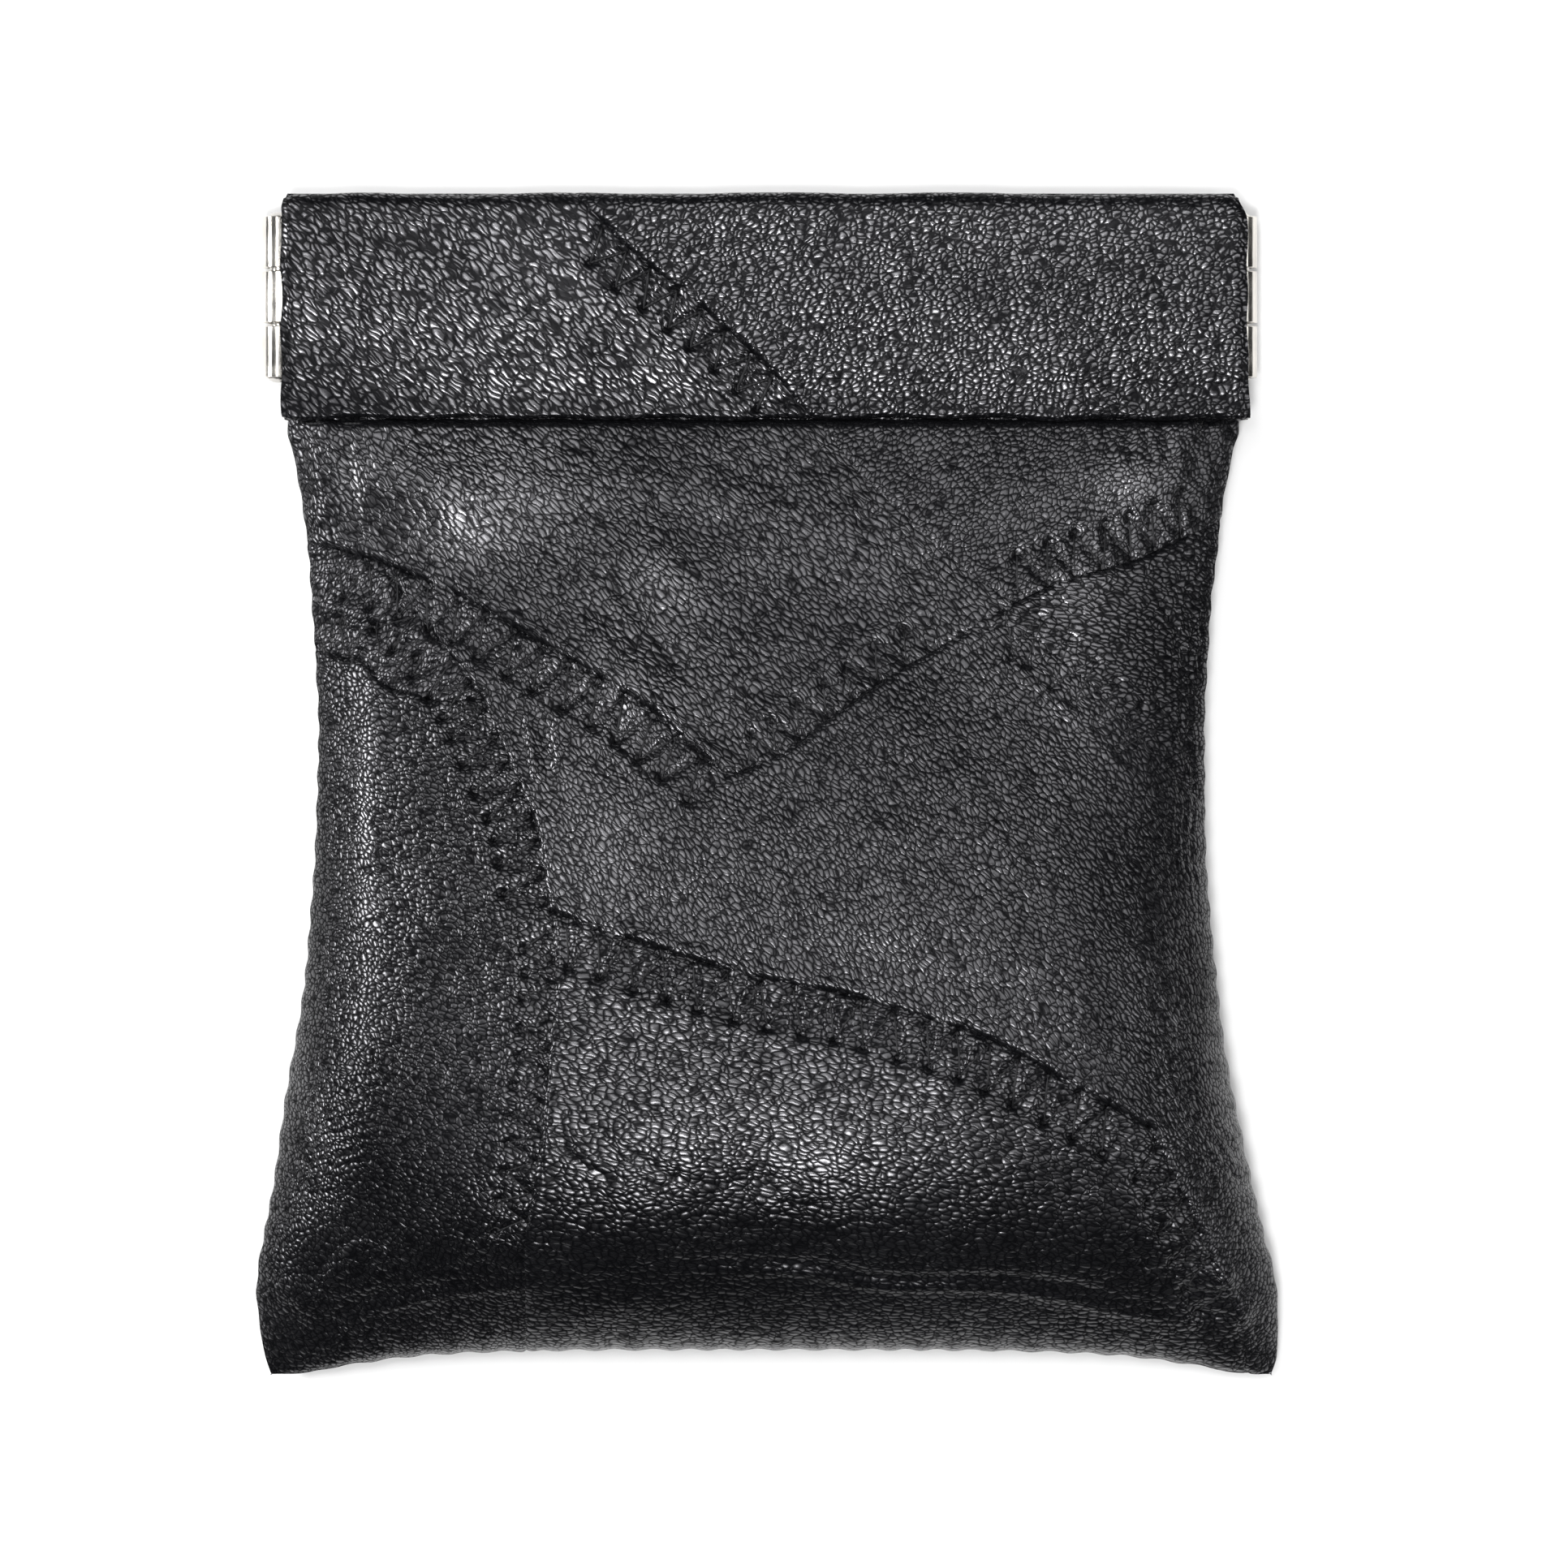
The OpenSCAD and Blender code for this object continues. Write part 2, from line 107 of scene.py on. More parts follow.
def smooth_line(pts, every=0.5):
    """A smooth line through the points, with points about that far apart."""
    p = np.array(pts, float)
    q = np.vstack([2 * p[0] - p[1], p, 2 * p[-1] - p[-2]])
    out = []
    for i in range(1, len(q) - 2):
        a, b, c, d = q[i - 1], q[i], q[i + 1], q[i + 2]
        n = max(2, int(np.linalg.norm(c - b) / every))
        for t in np.arange(n) / n:
            out.append(0.5 * (2 * b + (c - a) * t + (2 * a - 5 * b + 4 * c - d) * t * t + (3 * b - a - 3 * c + d) * t**3))
    out.append(p[-1])
    return np.array(out)


def field(x, y, line, reach=6.0):
    """Signed distance to a line (positive on its right), distance along it, and how far past its ends."""
    shape = x.shape
    x, y = x.ravel(), y.ravel()
    d, s, past = np.full(x.size, 99.0), np.zeros(x.size), np.zeros(x.size)
    lo, hi = line.min(0) - reach, line.max(0) + reach
    near = np.nonzero((x > lo[0]) & (x < hi[0]) & (y > lo[1]) & (y < hi[1]))[0]
    px, py = x[near], y[near]
    best, bs, bp = np.full(near.size, 99.0), np.zeros(near.size), np.zeros(near.size)
    run = 0.0
    for i in range(len(line) - 1):
        a, v = line[i], line[i + 1] - line[i]
        L = math.hypot(*v)
        t = ((px - a[0]) * v[0] + (py - a[1]) * v[1]) / (L * L)
        tc = np.clip(t, 0, 1)
        rx, ry = px - a[0] - tc * v[0], py - a[1] - tc * v[1]
        dist = np.hypot(rx, ry)
        sign = -np.sign(v[0] * ry - v[1] * rx)
        take = dist < np.abs(best)
        best[take] = (dist * np.where(sign == 0, 1, sign))[take]
        bs[take] = (run + tc * L)[take]
        out = np.where(t < 0, -t * L if i == 0 else 0, np.where(t > 1, (t - 1) * L if i == len(line) - 2 else 0, 0))
        bp[take] = out[take]
        run += L
    d[near], s[near], past[near] = best, bs, bp
    return d.reshape(shape), s.reshape(shape), past.reshape(shape)


# ---------------------------------------------------------------- outline of the stuffed pouch
EDGE_Y = [-53.5, -52.5, -51, -48.1, -45.3, -43.8, -40.9, -38, -35.1, -32.2, -29.3, -26.4, -23.5, -20.6, -17.7,
          -11.9, -6.2, -0.4, 5, 11.2, 17, 19.9, 22.8, 25.6, 28.6, 30, 31.5, 36]
EDGE_L = [-44.1, -44.5, -44.95, -45.4, -45.6, -45.5, -45.0, -44.4, -43.8, -43.3, -42.8, -42.3, -41.8, -41.4, -41.1,
          -40.7, -40.3, -40.1, -40.0, -40.3, -40.7, -40.9, -41.2, -41.6, -42.1, -42.4, -42.8, -42.8]
EDGE_R = [44.7, 45.2, 45.6, 45.65, 45.5, 45.3, 44.5, 43.8, 43.1, 42.5, 41.9, 41.3, 40.8, 40.4, 40.1,
          39.5, 39.1, 39.0, 39.0, 39.3, 39.7, 40.1, 40.4, 40.8, 41.4, 41.7, 42.1, 42.1]


def x_left(y):
    return pchip(EDGE_Y, EDGE_L, y)


def x_right(y):
    return pchip(EDGE_Y, EDGE_R, y)


def y_low(u):
    return pchip([0, .33, .54, .67, .74, .80, .85, .89, .94, 1.0],
                 [-50.52, -50.56, -50.72, -51.0, -51.3, -51.68, -52.0, -52.35, -52.72, -52.8], np.abs(u))


def to_plan(u, v):
    yb = y_low(u)
    y = yb + v * (TOP - yb)
    return x_left(y) + (x_right(y) - x_left(y)) * (u + 1) / 2, y


def to_uv(x, y):
    u = np.clip(2 * (x - x_left(y)) / (x_right(y) - x_left(y)) - 1, -1, 1)
    yb = y_low(u)
    return u, np.clip((y - yb) / (TOP - yb), 0, 1.05)


def seam_z(u, v):
    z = pchip([0, 0.1, 0.25, 0.5, 0.75, 1, 1.05], [3.0, 3.9, 4.5, 4.7, 3.9, 2.6, 2.6], v)
    return z - 1.3 * np.abs(u) ** 4 * (1 - step(0, 0.16, v))


MID_V = [0, .004, .012, .022, .034, .053, .075, .1, .13, .155, .18, .215, .26, .31, .428, .549, .67, .791, .875, .948, .985, .993, .998, 1.0014, 1.05]
MID_Z = [3, 4.9, 6.3, 7.4, 8.45, 9.95, 11.5, 13.0, 14.4, 15.15, 15.6, 15.9, 15.97, 15.8, 14.9, 13.3, 11.2, 8.95, 7.4, 6.0, 5.3, 5.12, 4.98, 4.07, 4.05]


def front_z(u, v):
    """Height of the stuffed front panel."""
    zs = seam_z(u, v)
    rise = np.maximum(pchip(MID_V, MID_Z, v) - seam_z(u * 0, v), 0)
    # the filling does not reach into the lower corners, less into the left one
    corner = np.where(u < 0, 0.32, 0.24)
    rise = rise * (1 - corner * step(0.15, 1.0, np.abs(u)) * (1 - step(0.0, 0.5, v)))
    knots = [0, 0.05, 0.25, 0.6, 0.85, 1, 1.05]
    n = np.where(u < 0, pchip(knots, [4.2, 3.8, 3.7, 3.3, 3.8, 9, 9], v), pchip(knots, [4.8, 6.0, 6.0, 3.7, 3.8, 9, 9], v))
    soft = np.where(u < 0, 0.72, 0.72 - 0.08 * (1 - step(0.2, 0.6, v)))
    full = np.maximum(0, 1 - np.abs(u) ** n) ** soft
    return zs + rise * full


def back_z(u, v):
    """Height of the back panel, which lies on the table in its middle."""
    zs = seam_z(u, v)
    fall = pchip([0, .006, .018, .035, .06, .1, .16, .3, .6, .8, .9, .96, 1, 1.05],
                 [0, 1.0, 2.0, 2.9, 3.7, 4.5, 5.0, 5.4, 5.3, 4.8, 3.8, 2.8, 1.68, 1.62], v)
    n = pchip([0, 0.1, 0.5, 0.9, 1, 1.05], [4.5, 4.2, 4.6, 7, 9, 9], v)
    h = zs - fall * np.maximum(0, 1 - np.abs(u) ** n) ** 0.62
    return 0.5 * (h + np.sqrt(h * h + 0.02)) + 0.01


# ---------------------------------------------------------------- seams, creases and bulges of the front
DIAG_TOP = [(-17.2, 52.7), (-11.9, 47.3), (-6.9, 43.4), (-0.4, 37.5), (4.2, 32.3)]
L_DIAG = smooth_line([(3.2, 36), (4.2, 33), (8, 28), (12.7, 23.5), (17.7, 19), (22, 16.1)])
L_VL = smooth_line([(-46, 22.8), (-42, 21.8), (-37.5, 20.6), (-34.5, 19.7), (-31.1, 18.4), (-26, 16), (-20.9, 13), (-15.6, 9.8),
                    (-10.7, 6.8), (-6.4, 3.2), (-3.6, 0.9)])
L_VR = smooth_line([(-3.6, 0.9), (0.9, 2.6), (6.2, 6.5), (10.8, 9.7), (17.2, 13.3)])
L_RA = smooth_line([(17.2, 13.3), (19.5, 14.8), (22, 16.1)])
L_RB = smooth_line([(22, 16.1), (24.8, 17.4), (28.3, 18.6), (33.3, 20.2), (42.5, 24.5), (46, 26.2)])
L_ARC = smooth_line([(17.2, 13.3), (19.5, 13.8), (22.7, 13.5), (24.8, 12.1), (28.3, 9.3), (31.5, 6.2), (34.5, 3), (40.5, -3.5), (44, -7.5)])
L_CU = smooth_line([(-34.5, 19.7), (-31.5, 15.6), (-27.9, 11.2), (-25.2, 7.6)])
L_CL = smooth_line([(-25.2, 7.6), (-22.7, 1.7), (-20.5, -3.6), (-19.2, -11.2)])
L_C = np.vstack([L_CU, L_CL[1:]])
L_D = smooth_line([(-19.2, -11.2), (-11.2, -13.9), (-1.8, -16.7), (6.8, -18.5), (14.7, -20.8), (20, -22.7), (28, -27.1), (33.7, -30.2)])
L_DE = smooth_line([(33.7, -30.2), (38, -32.8), (47, -38)])
L_E = smooth_line([(-19.2, -11.2), (-18.6, -15.9), (-19, -22), (-20.3, -34), (-21.2, -39.1), (-21.4, -46), (-21.5, -56)])
L_H = smooth_line([(-46, 13.4), (-42, 12.5), (-38.1, 11.4), (-35.7, 10.9), (-33.9, 8.8), (-31, 8), (-28.8, 7.4), (-25.2, 7.6)])
L_G = smooth_line([(33.7, -30.2), (35.9, -34.4), (39.2, -42), (41.6, -47), (43.6, -56)])
# line, where its zigzag begins and ends along it, strength, side (1 right, -1 left), nearer and farther edge of the zigzag,
# length of one zigzag, how sharp the seam line is
SEAMS = [
    (L_DIAG, 5.5, 23.0, 0.30, 1, 0.3, 3.3, 2.9, 0.25),
    (L_VL, 8.0, 48.0, 1.0, 1, 0.3, 3.9, 2.9, 1.0),
    (L_VR, 2.0, 22.5, 0.75, -1, 0.3, 2.9, 2.8, 0.75),
    (L_RA, 90.0, 91.0, 0.5, -1, 0.3, 2.6, 2.5, 0.35),
    (L_RB, 0.6, 18.5, 0.85, -1, 0.3, 3.8, 2.6, 0.85),
    (L_ARC, 3.6, 21.0, 0.55, 1, -1.9, 2.3, 2.8, 0.3),
    (L_C, 3.0, 34.5, 1.0, 1, 0.3, 3.9, 2.6, 0.85),
    (L_D, 1.6, 55.0, 1.0, 1, 0.35, 4.1, 3.0, 1.0),
    (L_DE, 90.0, 91.0, 0.4, 1, 0.3, 3.0, 2.8, 0.4),
    (L_E, 1.5, 29.0, 0.75, 1, 0.3, 2.8, 2.6, 0.55),
    (L_H, 6.0, 16.0, 0.8, -1, 0.3, 3.2, 2.7, 0.8),
    (L_G, 2.0, 18.5, 0.8, 1, 0.3, 3.2, 2.8, 0.6),
]
BSEAMS = [
    (smooth_line([(-46, 2), (-30, 4.5), (-12, 9)]), 8.0, 34.0, 0.8, 1, 0.3, 3.4, 2.8, 0.8),
    (smooth_line([(-12, 9), (5, 7), (24, 12), (46, 9.5)]), 1.5, 49.0, 0.8, 1, 0.3, 3.4, 2.8, 0.8),
    (smooth_line([(-12, 9), (-9, -10), (-4, -26), (-5, -56)]), 5.0, 56.0, 0.8, 1, 0.3, 3.4, 2.8, 0.8),
]


def jog(s):
    """Uneven hand feed of the zigzag along a seam."""
    return 0.06 * np.sin(1.9 * s + 0.4) + 0.12 * np.sin(0.83 * s + 2.0)


def seam_relief(x, y, line, z0, z1, amp, side, za, zb, pitch, sharp):
    d, s, past = field(x, y, line, 7.0)
    d = d * side
    keep = 1 - step(0.0, 0.8, past)
    uneven = 0.66 + 0.42 * np.sin(0.71 * s + 1.3) * np.sin(0.29 * s)
    out = -0.30 * np.exp(-(d / 0.2) ** 2) + 0.15 * np.exp(-((d + 0.75) / 0.5) ** 2)
    out = out * sharp * uneven
    on = step(z0 - 0.8, z0 + 0.4, s) * (1 - step(z1 - 0.4, z1 + 0.8, s))
    band = step(za - 0.5, za + 0.3, d) * (1 - step(zb - 0.1, zb + 0.9, d))
    half = pitch / 2
    sj = s + jog(s)
    ph = (sj - z0) / half
    k = np.floor(ph)
    f = ph - k
    tri = np.where(k % 2 == 0, za + (zb - za) * f, zb - (zb - za) * f)
    r = np.abs(d - tri) / math.hypot(1, (zb - za) / half)
    puff = 0.8 + 0.4 * np.sin(2.3 * k + 0.7 * z0)
    tongue = band * (0.25 * puff * (1 - np.exp(-(r / 0.5) ** 2)) - 0.14)
    kk = np.rint(ph)
    dv = np.where(kk % 2 == 0, za, zb)
    a, b = (ph - kk) * half, d - dv
    rho = np.hypot(a, b)
    hole = -0.36 * np.exp(-(rho / 0.36) ** 2)
    star = 0.055 * np.cos(7 * np.arctan2(b, a) + 1.7 * kk) * np.exp(-((rho - 0.9) / 0.6) ** 2)
    # the band lies a little lower than the leather beside it, which swells up along it
    bed = -0.10 * band + 0.10 * np.exp(-((d - zb - 1.0) / 0.6) ** 2)
    return keep * (out + amp * on * (tongue + hole + star + bed))


CREASES = [  # line, depth (negative) or height, half width
    ([(-12, -43.0), (-4.3, -43.1), (4, -43.3), (10, -44.5), (18, -44.5), (25.7, -45.5), (30.4, -46.7), (36.6, -47.6), (41, -49)], 0.20, 0.45),
    ([(-14, -42.0), (-4, -42.2), (4, -42.4), (10, -43.6), (18, -43.5), (25.7, -44.0), (31.9, -45.6), (37, -46.8)], -0.20, 0.4),
    ([(-41, -49.2), (-34, -46.6), (-25, -44.8), (-16, -44.0)], 0.12, 0.5),
    ([(-39.5, -46.6), (-33, -45.2), (-25, -43.6)], -0.12, 0.45),
    ([(-16.3, 20.2), (-12.5, 16.3), (-7.2, 9.6), (-5.4, 7.9)], -0.16, 0.5),
    ([(-12.1, 2.9), (-9.6, -0.6), (-5.1, -5.1)], -0.15, 0.4),
    ([(-5.3, 23.4), (-2.4, 23.6)], -0.12, 0.3),
    ([(-18.4, -28.6), (-17.9, -31.5), (-17, -33), (-14.5, -34.3), (-11.6, -35.1)], -0.16, 0.4),
    ([(-10.5, -27.9), (-8.0, -29.5)], -0.12, 0.35),
    ([(-39.9, 33), (-39.7, 27), (-39.0, 20.5)], 0.28, 1.2),
    ([(-37.6, 33), (-37.2, 27), (-36.2, 20.5)], -0.26, 1.0),
    ([(39.2, 33), (38.4, 28.5), (36.8, 24.0)], -0.16, 0.9),
    ([(37.4, 33), (36.6, 28.5), (35.0, 24.5)], 0.22, 1.0),
    ([(34.5, -37), (39.5, -43.5), (43, -48.5)], 0.26, 0.9),
    ([(31.5, -40), (37, -45.5), (41.5, -49.5)], -0.24, 0.8),
    ([(-31, -42.5), (-36.5, -46.5), (-41.5, -50)], -0.2, 0.9),
    ([(-33.5, -38.5), (-38, -43), (-42.5, -47.5)], 0.22, 0.9),
    ([(32.5, 7), (36, 2.5), (37.6, -3)], -0.13, 0.35),
    ([(33.8, 9.2), (37, 4), (38.2, -1)], -0.12, 0.3),
    ([(30.5, 9.5), (33.5, 4.5), (35.3, -1)], -0.09, 0.35),
    ([(33, 18.6), (36, 14.6), (38, 8)], -0.14, 0.35),
    ([(-37.3, -8.1), (-35, -7.5), (-32.3, -7.8)], -0.14, 0.3),
    ([(-38.8, -13.4), (-35, -12.2), (-31, -13)], -0.08, 0.3),
    ([(-14, -31), (-8, -34.5), (-2, -35.5)], -0.10, 0.4),
    ([(-18.9, -22.5), (-19.2, -28), (-19.6, -34.5)], 0.2, 0.4),
    ([(-21.6, 8.2), (-20.9, 4), (-20.2, -1.4)], 0.26, 0.42),
    ([(-20.3, 7.8), (-19.6, 4), (-19.0, -1.6)], -0.16, 0.34),
    ([(-18.9, 7.4), (-18.3, 3.4), (-18.0, -0.6)], 0.14, 0.4),
    ([(34.4, -27.7), (36.8, -27.6)], 0.16, 0.3),
    ([(-8, 31), (-4, 28.4), (1.5, 26.5)], -0.07, 0.4),
    ([(6, 5), (12, 2), (17, 0.5)], -0.07, 0.5),
    ([(-28, -8), (-25.5, -15), (-24.5, -23)], -0.08, 0.5),
]
BULGES = [  # x, y, half length, half width, turn in degrees, height
    (-26.5, 29.5, 10.0, 5.0, -6, 0.65), (-28.6, 25.0, 4.5, 2.6, -14, 0.35), (-11.6, 9.4, 5.2, 2.3, -36, 0.45), (-9.3, 19.0, 5.5, 3.0, -30, 0.45),
    (28.5, 18.6, 5.5, 3.6, 22, 0.65), (33, 29.0, 4.0, 3.2, 0, 0.6),
    (-35.4, -2, 13, 1.7, 90, 0.35), (0.5, -31.5, 15, 4.0, -3, 0.25), (-6, 28, 9, 3, -25, 0.2),
    (-14, -1, 5, 3, -50, 0.3), (24, -2, 6, 4, 70, 0.25), (-37, -28, 9, 6, 90, 0.9), (-28, -24, 9, 4, 90, -0.3), (8, 17, 7, 5, 0, -0.35),
    (33, -8, 9, 3, 90, 0.2), (40.4, -44.0, 1.5, 1.1, 60, 0.45), (42.2, -47.0, 1.4, 1.0, 50, 0.4), (-41.6, -45.5, 2.4, 1.4, -50, 0.35)]


POLISH = [  # x, y, half length, half width, turn in degrees, how much more gloss
    (-26, 27, 10, 5.5, -10, 1.1), (-28.6, 22.6, 4, 2.6, -14, 1.2), (-11, 10, 6, 3, -40, 0.4), (-16, -5, 5, 9, 0, 0.6), (-8.6, 18.5, 4, 2.5, -40, 0.7),
    (33, 27, 4, 3.5, 20, 1.0), (28, 16, 3.5, 5, 0, 0.9), (28, 5, 3, 6, 0, 0.5), (1, -32, 12, 4, 0, 0.3), (-33, -31, 7, 8, 0, -0.45), (36, -2, 2.2, 14, 0, -0.35),
    (-3, -44.8, 34, 3.4, 0, -0.8), (10, 6, 8, 8, 0, -0.15), (-35.4, -2, 1.6, 14, 0, 0.95), (-39.3, -30, 1.6, 7, 20, 0.7), (-26, 30.3, 9, 1.9, 0, 0.6),
    (-28, 22.3, 3, 1.8, -14, 0.6), (33, 26, 2.5, 2, 0, 0.5), (28, 9, 3, 9, 0, 0.3), (38.4, -18, 1.6, 6, 0, -0.6), (33, -18, 1.8, 5, 0, 0.5),
    (36, -24, 1.4, 8, 0, 0.5), (-39.5, -37, 1.5, 6, 0, 0.4), (38.5, -42.5, 2, 4, 0, 0.5), (3, -38, 15, 1.8, 0, -0.3), (-12, 7, 5, 7, 0, 0.35)]
CASING_POLISH = [
    (-39, 35, 8, 3.6, 0, -0.55), (0, 33.4, 45, 2.0, 0, -0.35), (-20, 45.8, 7, 2.8, -30, 0.5), (24, 49.6, 17, 2.0, 0, 0.4), (24, 43.5, 16, 2.4, 0, -0.22),
    (38.5, 34, 5, 2.6, 0, -0.35), (-0.5, 36, 3, 2.4, 0, 0.6), (-15, 39, 3, 3, 0, -0.4), (-38, 48.6, 7, 1.8, 0, -0.3), (-8, 41.5, 2.5, 2, 0, 0.4)]


def polish(x, y, spots=POLISH):
    g = 0 * x
    for px, py, a, b, turn, h in spots:
        c, s = math.cos(math.radians(turn)), math.sin(math.radians(turn))
        p, q = (x - px) * c + (y - py) * s, -(x - px) * s + (y - py) * c
        g = g + h * np.exp(-(p / a) ** 2 - (q / b) ** 2)
    return g


def box_mask(x, y, x0, x1, y0, y1, soft):
    return step(x0 - soft, x0 + soft, x) * (1 - step(x1 - soft, x1 + soft, x)) * step(y0 - soft, y0 + soft, y) * (1 - step(y1 - soft, y1 + soft, y))


def fine_wrinkles(x, y):
    """Groups of narrow parallel wrinkles where the leather is bent over the filling."""
    w = 0.5 + 0.5 * noise(x, y, 4.5, 91)
    twist = 0.5 * noise(x, y, 6, 92)
    r = 0.050 * w * np.sin(2 * math.pi * (y + 0.035 * (x - 31) ** 2 + twist) / 0.85) * box_mask(x, y, 29.4, 37.0, -27.5, -1, 1.6)
    r += 0.085 * w * np.sin(2 * math.pi * (0.839 * x + 0.545 * y + 0.7 * twist) / 1.0) * box_mask(x, y, 35.8, 42, -43.5, -30.5, 1.3)
    edge = x_right(y) - x
    r += 0.055 * w * np.sin(2 * math.pi * (edge + 0.6 * twist) / 0.72) * step(0.3, 1.0, edge) * (1 - step(2.6, 5.2, edge)) * step(-22, -8, y) * (1 - step(18, 28, y))
    edge = x - x_left(y)
    r += 0.04 * w * np.sin(2 * math.pi * (y - 0.3 * x + twist) / 1.05) * step(0.6, 2, edge) * (1 - step(6, 10, edge)) * step(-44, -30, y) * (1 - step(-5, 8, y))
    # crumpled curls at the left edge, below the end of the long seam
    curl = box_mask(x, y, -39.3, -34.0, 11.6, 19.4, 1.0)
    r += curl * (0.16 * noise(x, y, 1.25, 93) + 0.10 * noise(x + y, x - y, 0.9, 94))
    # and small puckers among the seams that meet there
    mix = box_mask(x, y, -33, -24, 4.5, 13.5, 1.5)
    r += mix * 0.10 * noise(x, y, 1.3, 95)
    # soft folds running up to the casing's hem
    r += 0.05 * np.sin(2 * math.pi * (x + 0.25 * (y - 32) + 1.2 * twist) / 1.9) * step(24, 30, y) * (0.3 + 0.7 * step(26, 38, np.abs(x)))
    return r


def seams_only(x, y, seams):
    return sum(seam_relief(x, y, *seam) for seam in seams)


def front_relief(x, y):
    r = seams_only(x, y, SEAMS)
    for pts, depth, w in CREASES:
        line = smooth_line(pts, 0.8)
        d, s, past = field(x, y, line, 4)
        total = np.linalg.norm(np.diff(line, axis=0), axis=1).sum()
        fade = step(0, 0.35 * total, s) * (1 - step(0.65 * total, total, s)) if pts[0][1] < 31.5 else 1 - step(0.5 * total, total, s)
        r += depth * fade * (1 - step(0, 0.5, past)) * np.exp(-(d / w) ** 2)
    for bx, by, a, b, turn, h in BULGES:
        c, s = math.cos(math.radians(turn)), math.sin(math.radians(turn))
        p, q = (x - bx) * c + (y - by) * s, -(x - bx) * s + (y - by) * c
        r += h * np.exp(-(p / a) ** 2 - (q / b) ** 2) * (1 - step(25.5, 32.3, y))
    u, v = to_uv(x, y)
    soft = (1 - np.abs(u) ** 6) * step(0, 0.06, v) * (1 - step(0.93, 1.0, v))
    r += soft * (0.30 * noise(x, y, 13, 3) + 0.13 * noise(x, y, 5.5, 5) + 0.05 * noise(x, y, 2.2, 8))
    r += fine_wrinkles(x, y)
    # the panel is gathered a little under the casing's edge
    r += 0.06 * np.cos(2 * math.pi * x / 4.75) * (1 - step(27.5, 32.0, 2 * 29.8 - y)) * step(28.5, 31.5, y)
    # and puckers along the side and bottom seams
    side = step(0.93, 0.99, np.abs(u)) * step(0.03, 0.1, v) * (1 - step(0.9, 1, v))
    r += side * 0.08 * np.sin(2 * math.pi * (y + 0.6 * noise(x * 0, y, 7, 21)) / 2.9)
    low = (1 - step(0.008, 0.035, v)) * (1 - np.abs(u) ** 8)
    r += low * 0.09 * np.sin(2 * math.pi * (x + 0.8 * noise(x, y * 0, 9, 22)) / 3.3)
    return r


def back_relief(x, y):
    r = seams_only(x, y, BSEAMS)
    u, v = to_uv(x, y)
    r += 0.10 * noise(x, y, 9, 31) + 0.05 * noise(x, y, 3.5, 32)
    side = step(0.9, 0.985, np.abs(u)) * step(0.03, 0.1, v) * (1 - step(0.9, 1, v))
    r += side * 0.10 * np.sin(2 * math.pi * y / 2.9)
    return r


# ---------------------------------------------------------------- meshes
def mesh_object(name, verts, quads, rest=None, sharp=50):
    """A mesh from vertices in millimetres and four-sided faces."""
    verts = np.asarray(verts, float)
    quads = np.asarray(quads, np.int32)
    used, flat = np.unique(quads, return_inverse=True)
    quads = flat.reshape(quads.shape).astype(np.int32)
    verts = verts[used]
    me = bpy.data.meshes.new(name)
    me.vertices.add(len(verts))
    me.vertices.foreach_set("co", (verts * MM).astype(np.float32).ravel())
    me.loops.add(quads.size)
    me.loops.foreach_set("vertex_index", quads.ravel())
    me.polygons.add(len(quads))
    me.polygons.foreach_set("loop_start", np.arange(0, quads.size, quads.shape[1], dtype=np.int32))
    me.update(calc_edges=True)
    me.validate()
    me.polygons.foreach_set("use_smooth", np.ones(len(me.polygons), bool))
    if sharp:
        me.set_sharp_from_angle(angle=math.radians(sharp))
    at = me.attributes.new("rest", "FLOAT_VECTOR", "POINT")
    co = np.zeros(len(me.vertices) * 3, np.float32)
    me.vertices.foreach_get("co", co)
    at.data.foreach_set("vector", co)
    o = bpy.data.objects.new(name, me)
    bpy.context.scene.collection.objects.link(o)
    return o, used


def put(o, name, values, used=None):
    """A value for each vertex, for the material to read."""
    values = np.asarray(values, np.float32).ravel()
    if used is not None:
        values = values[used]
    at = o.data.attributes.new(name, "FLOAT", "POINT")
    at.data.foreach_set("value", values)


def shell(name, outer, inner, mask=None, relief=None, shine=None):
    """A closed skin between two grids of points, or the part of it where mask is true."""
    ny, nx = outer.shape[:2]
    if mask is None:
        mask = np.ones((ny - 1, nx - 1), bool)
    idx = np.arange(ny * nx).reshape(ny, nx)
    off = ny * nx
    j, i = np.nonzero(mask)
    a, b, c, d = idx[j, i], idx[j, i + 1], idx[j + 1, i + 1], idx[j + 1, i]
    faces = [np.stack([a, b, c, d], 1), np.stack([a + off, d + off, c + off, b + off], 1)]
    pad = np.zeros((ny + 1, nx + 1), bool)
    pad[1:-1, 1:-1] = mask
    m = pad[1:-1, 1:-1]
    for dj, di, p, q in ((-1, 0, a, b), (0, 1, b, c), (1, 0, c, d), (0, -1, d, a)):
        rim = ~pad[1 + j + dj, 1 + i + di]
        p, q = p[rim], q[rim]
        faces.append(np.stack([q, p, p + off, q + off], 1))
    verts = np.vstack([outer.reshape(-1, 3), inner.reshape(-1, 3)])
    o, used = mesh_object(name, verts, np.vstack(faces))
    if relief is not None:
        put(o, "relief", np.concatenate([relief.ravel(), relief.ravel() * 0]), used)
    if shine is not None:
        put(o, "polish", np.concatenate([shine.ravel(), shine.ravel() * 0]), used)
    return o


def grid_normals(p):
    n = np.cross(np.gradient(p, axis=1), np.gradient(p, axis=0))
    n /= np.maximum(np.linalg.norm(n, axis=2, keepdims=True), 1e-9)
    return n


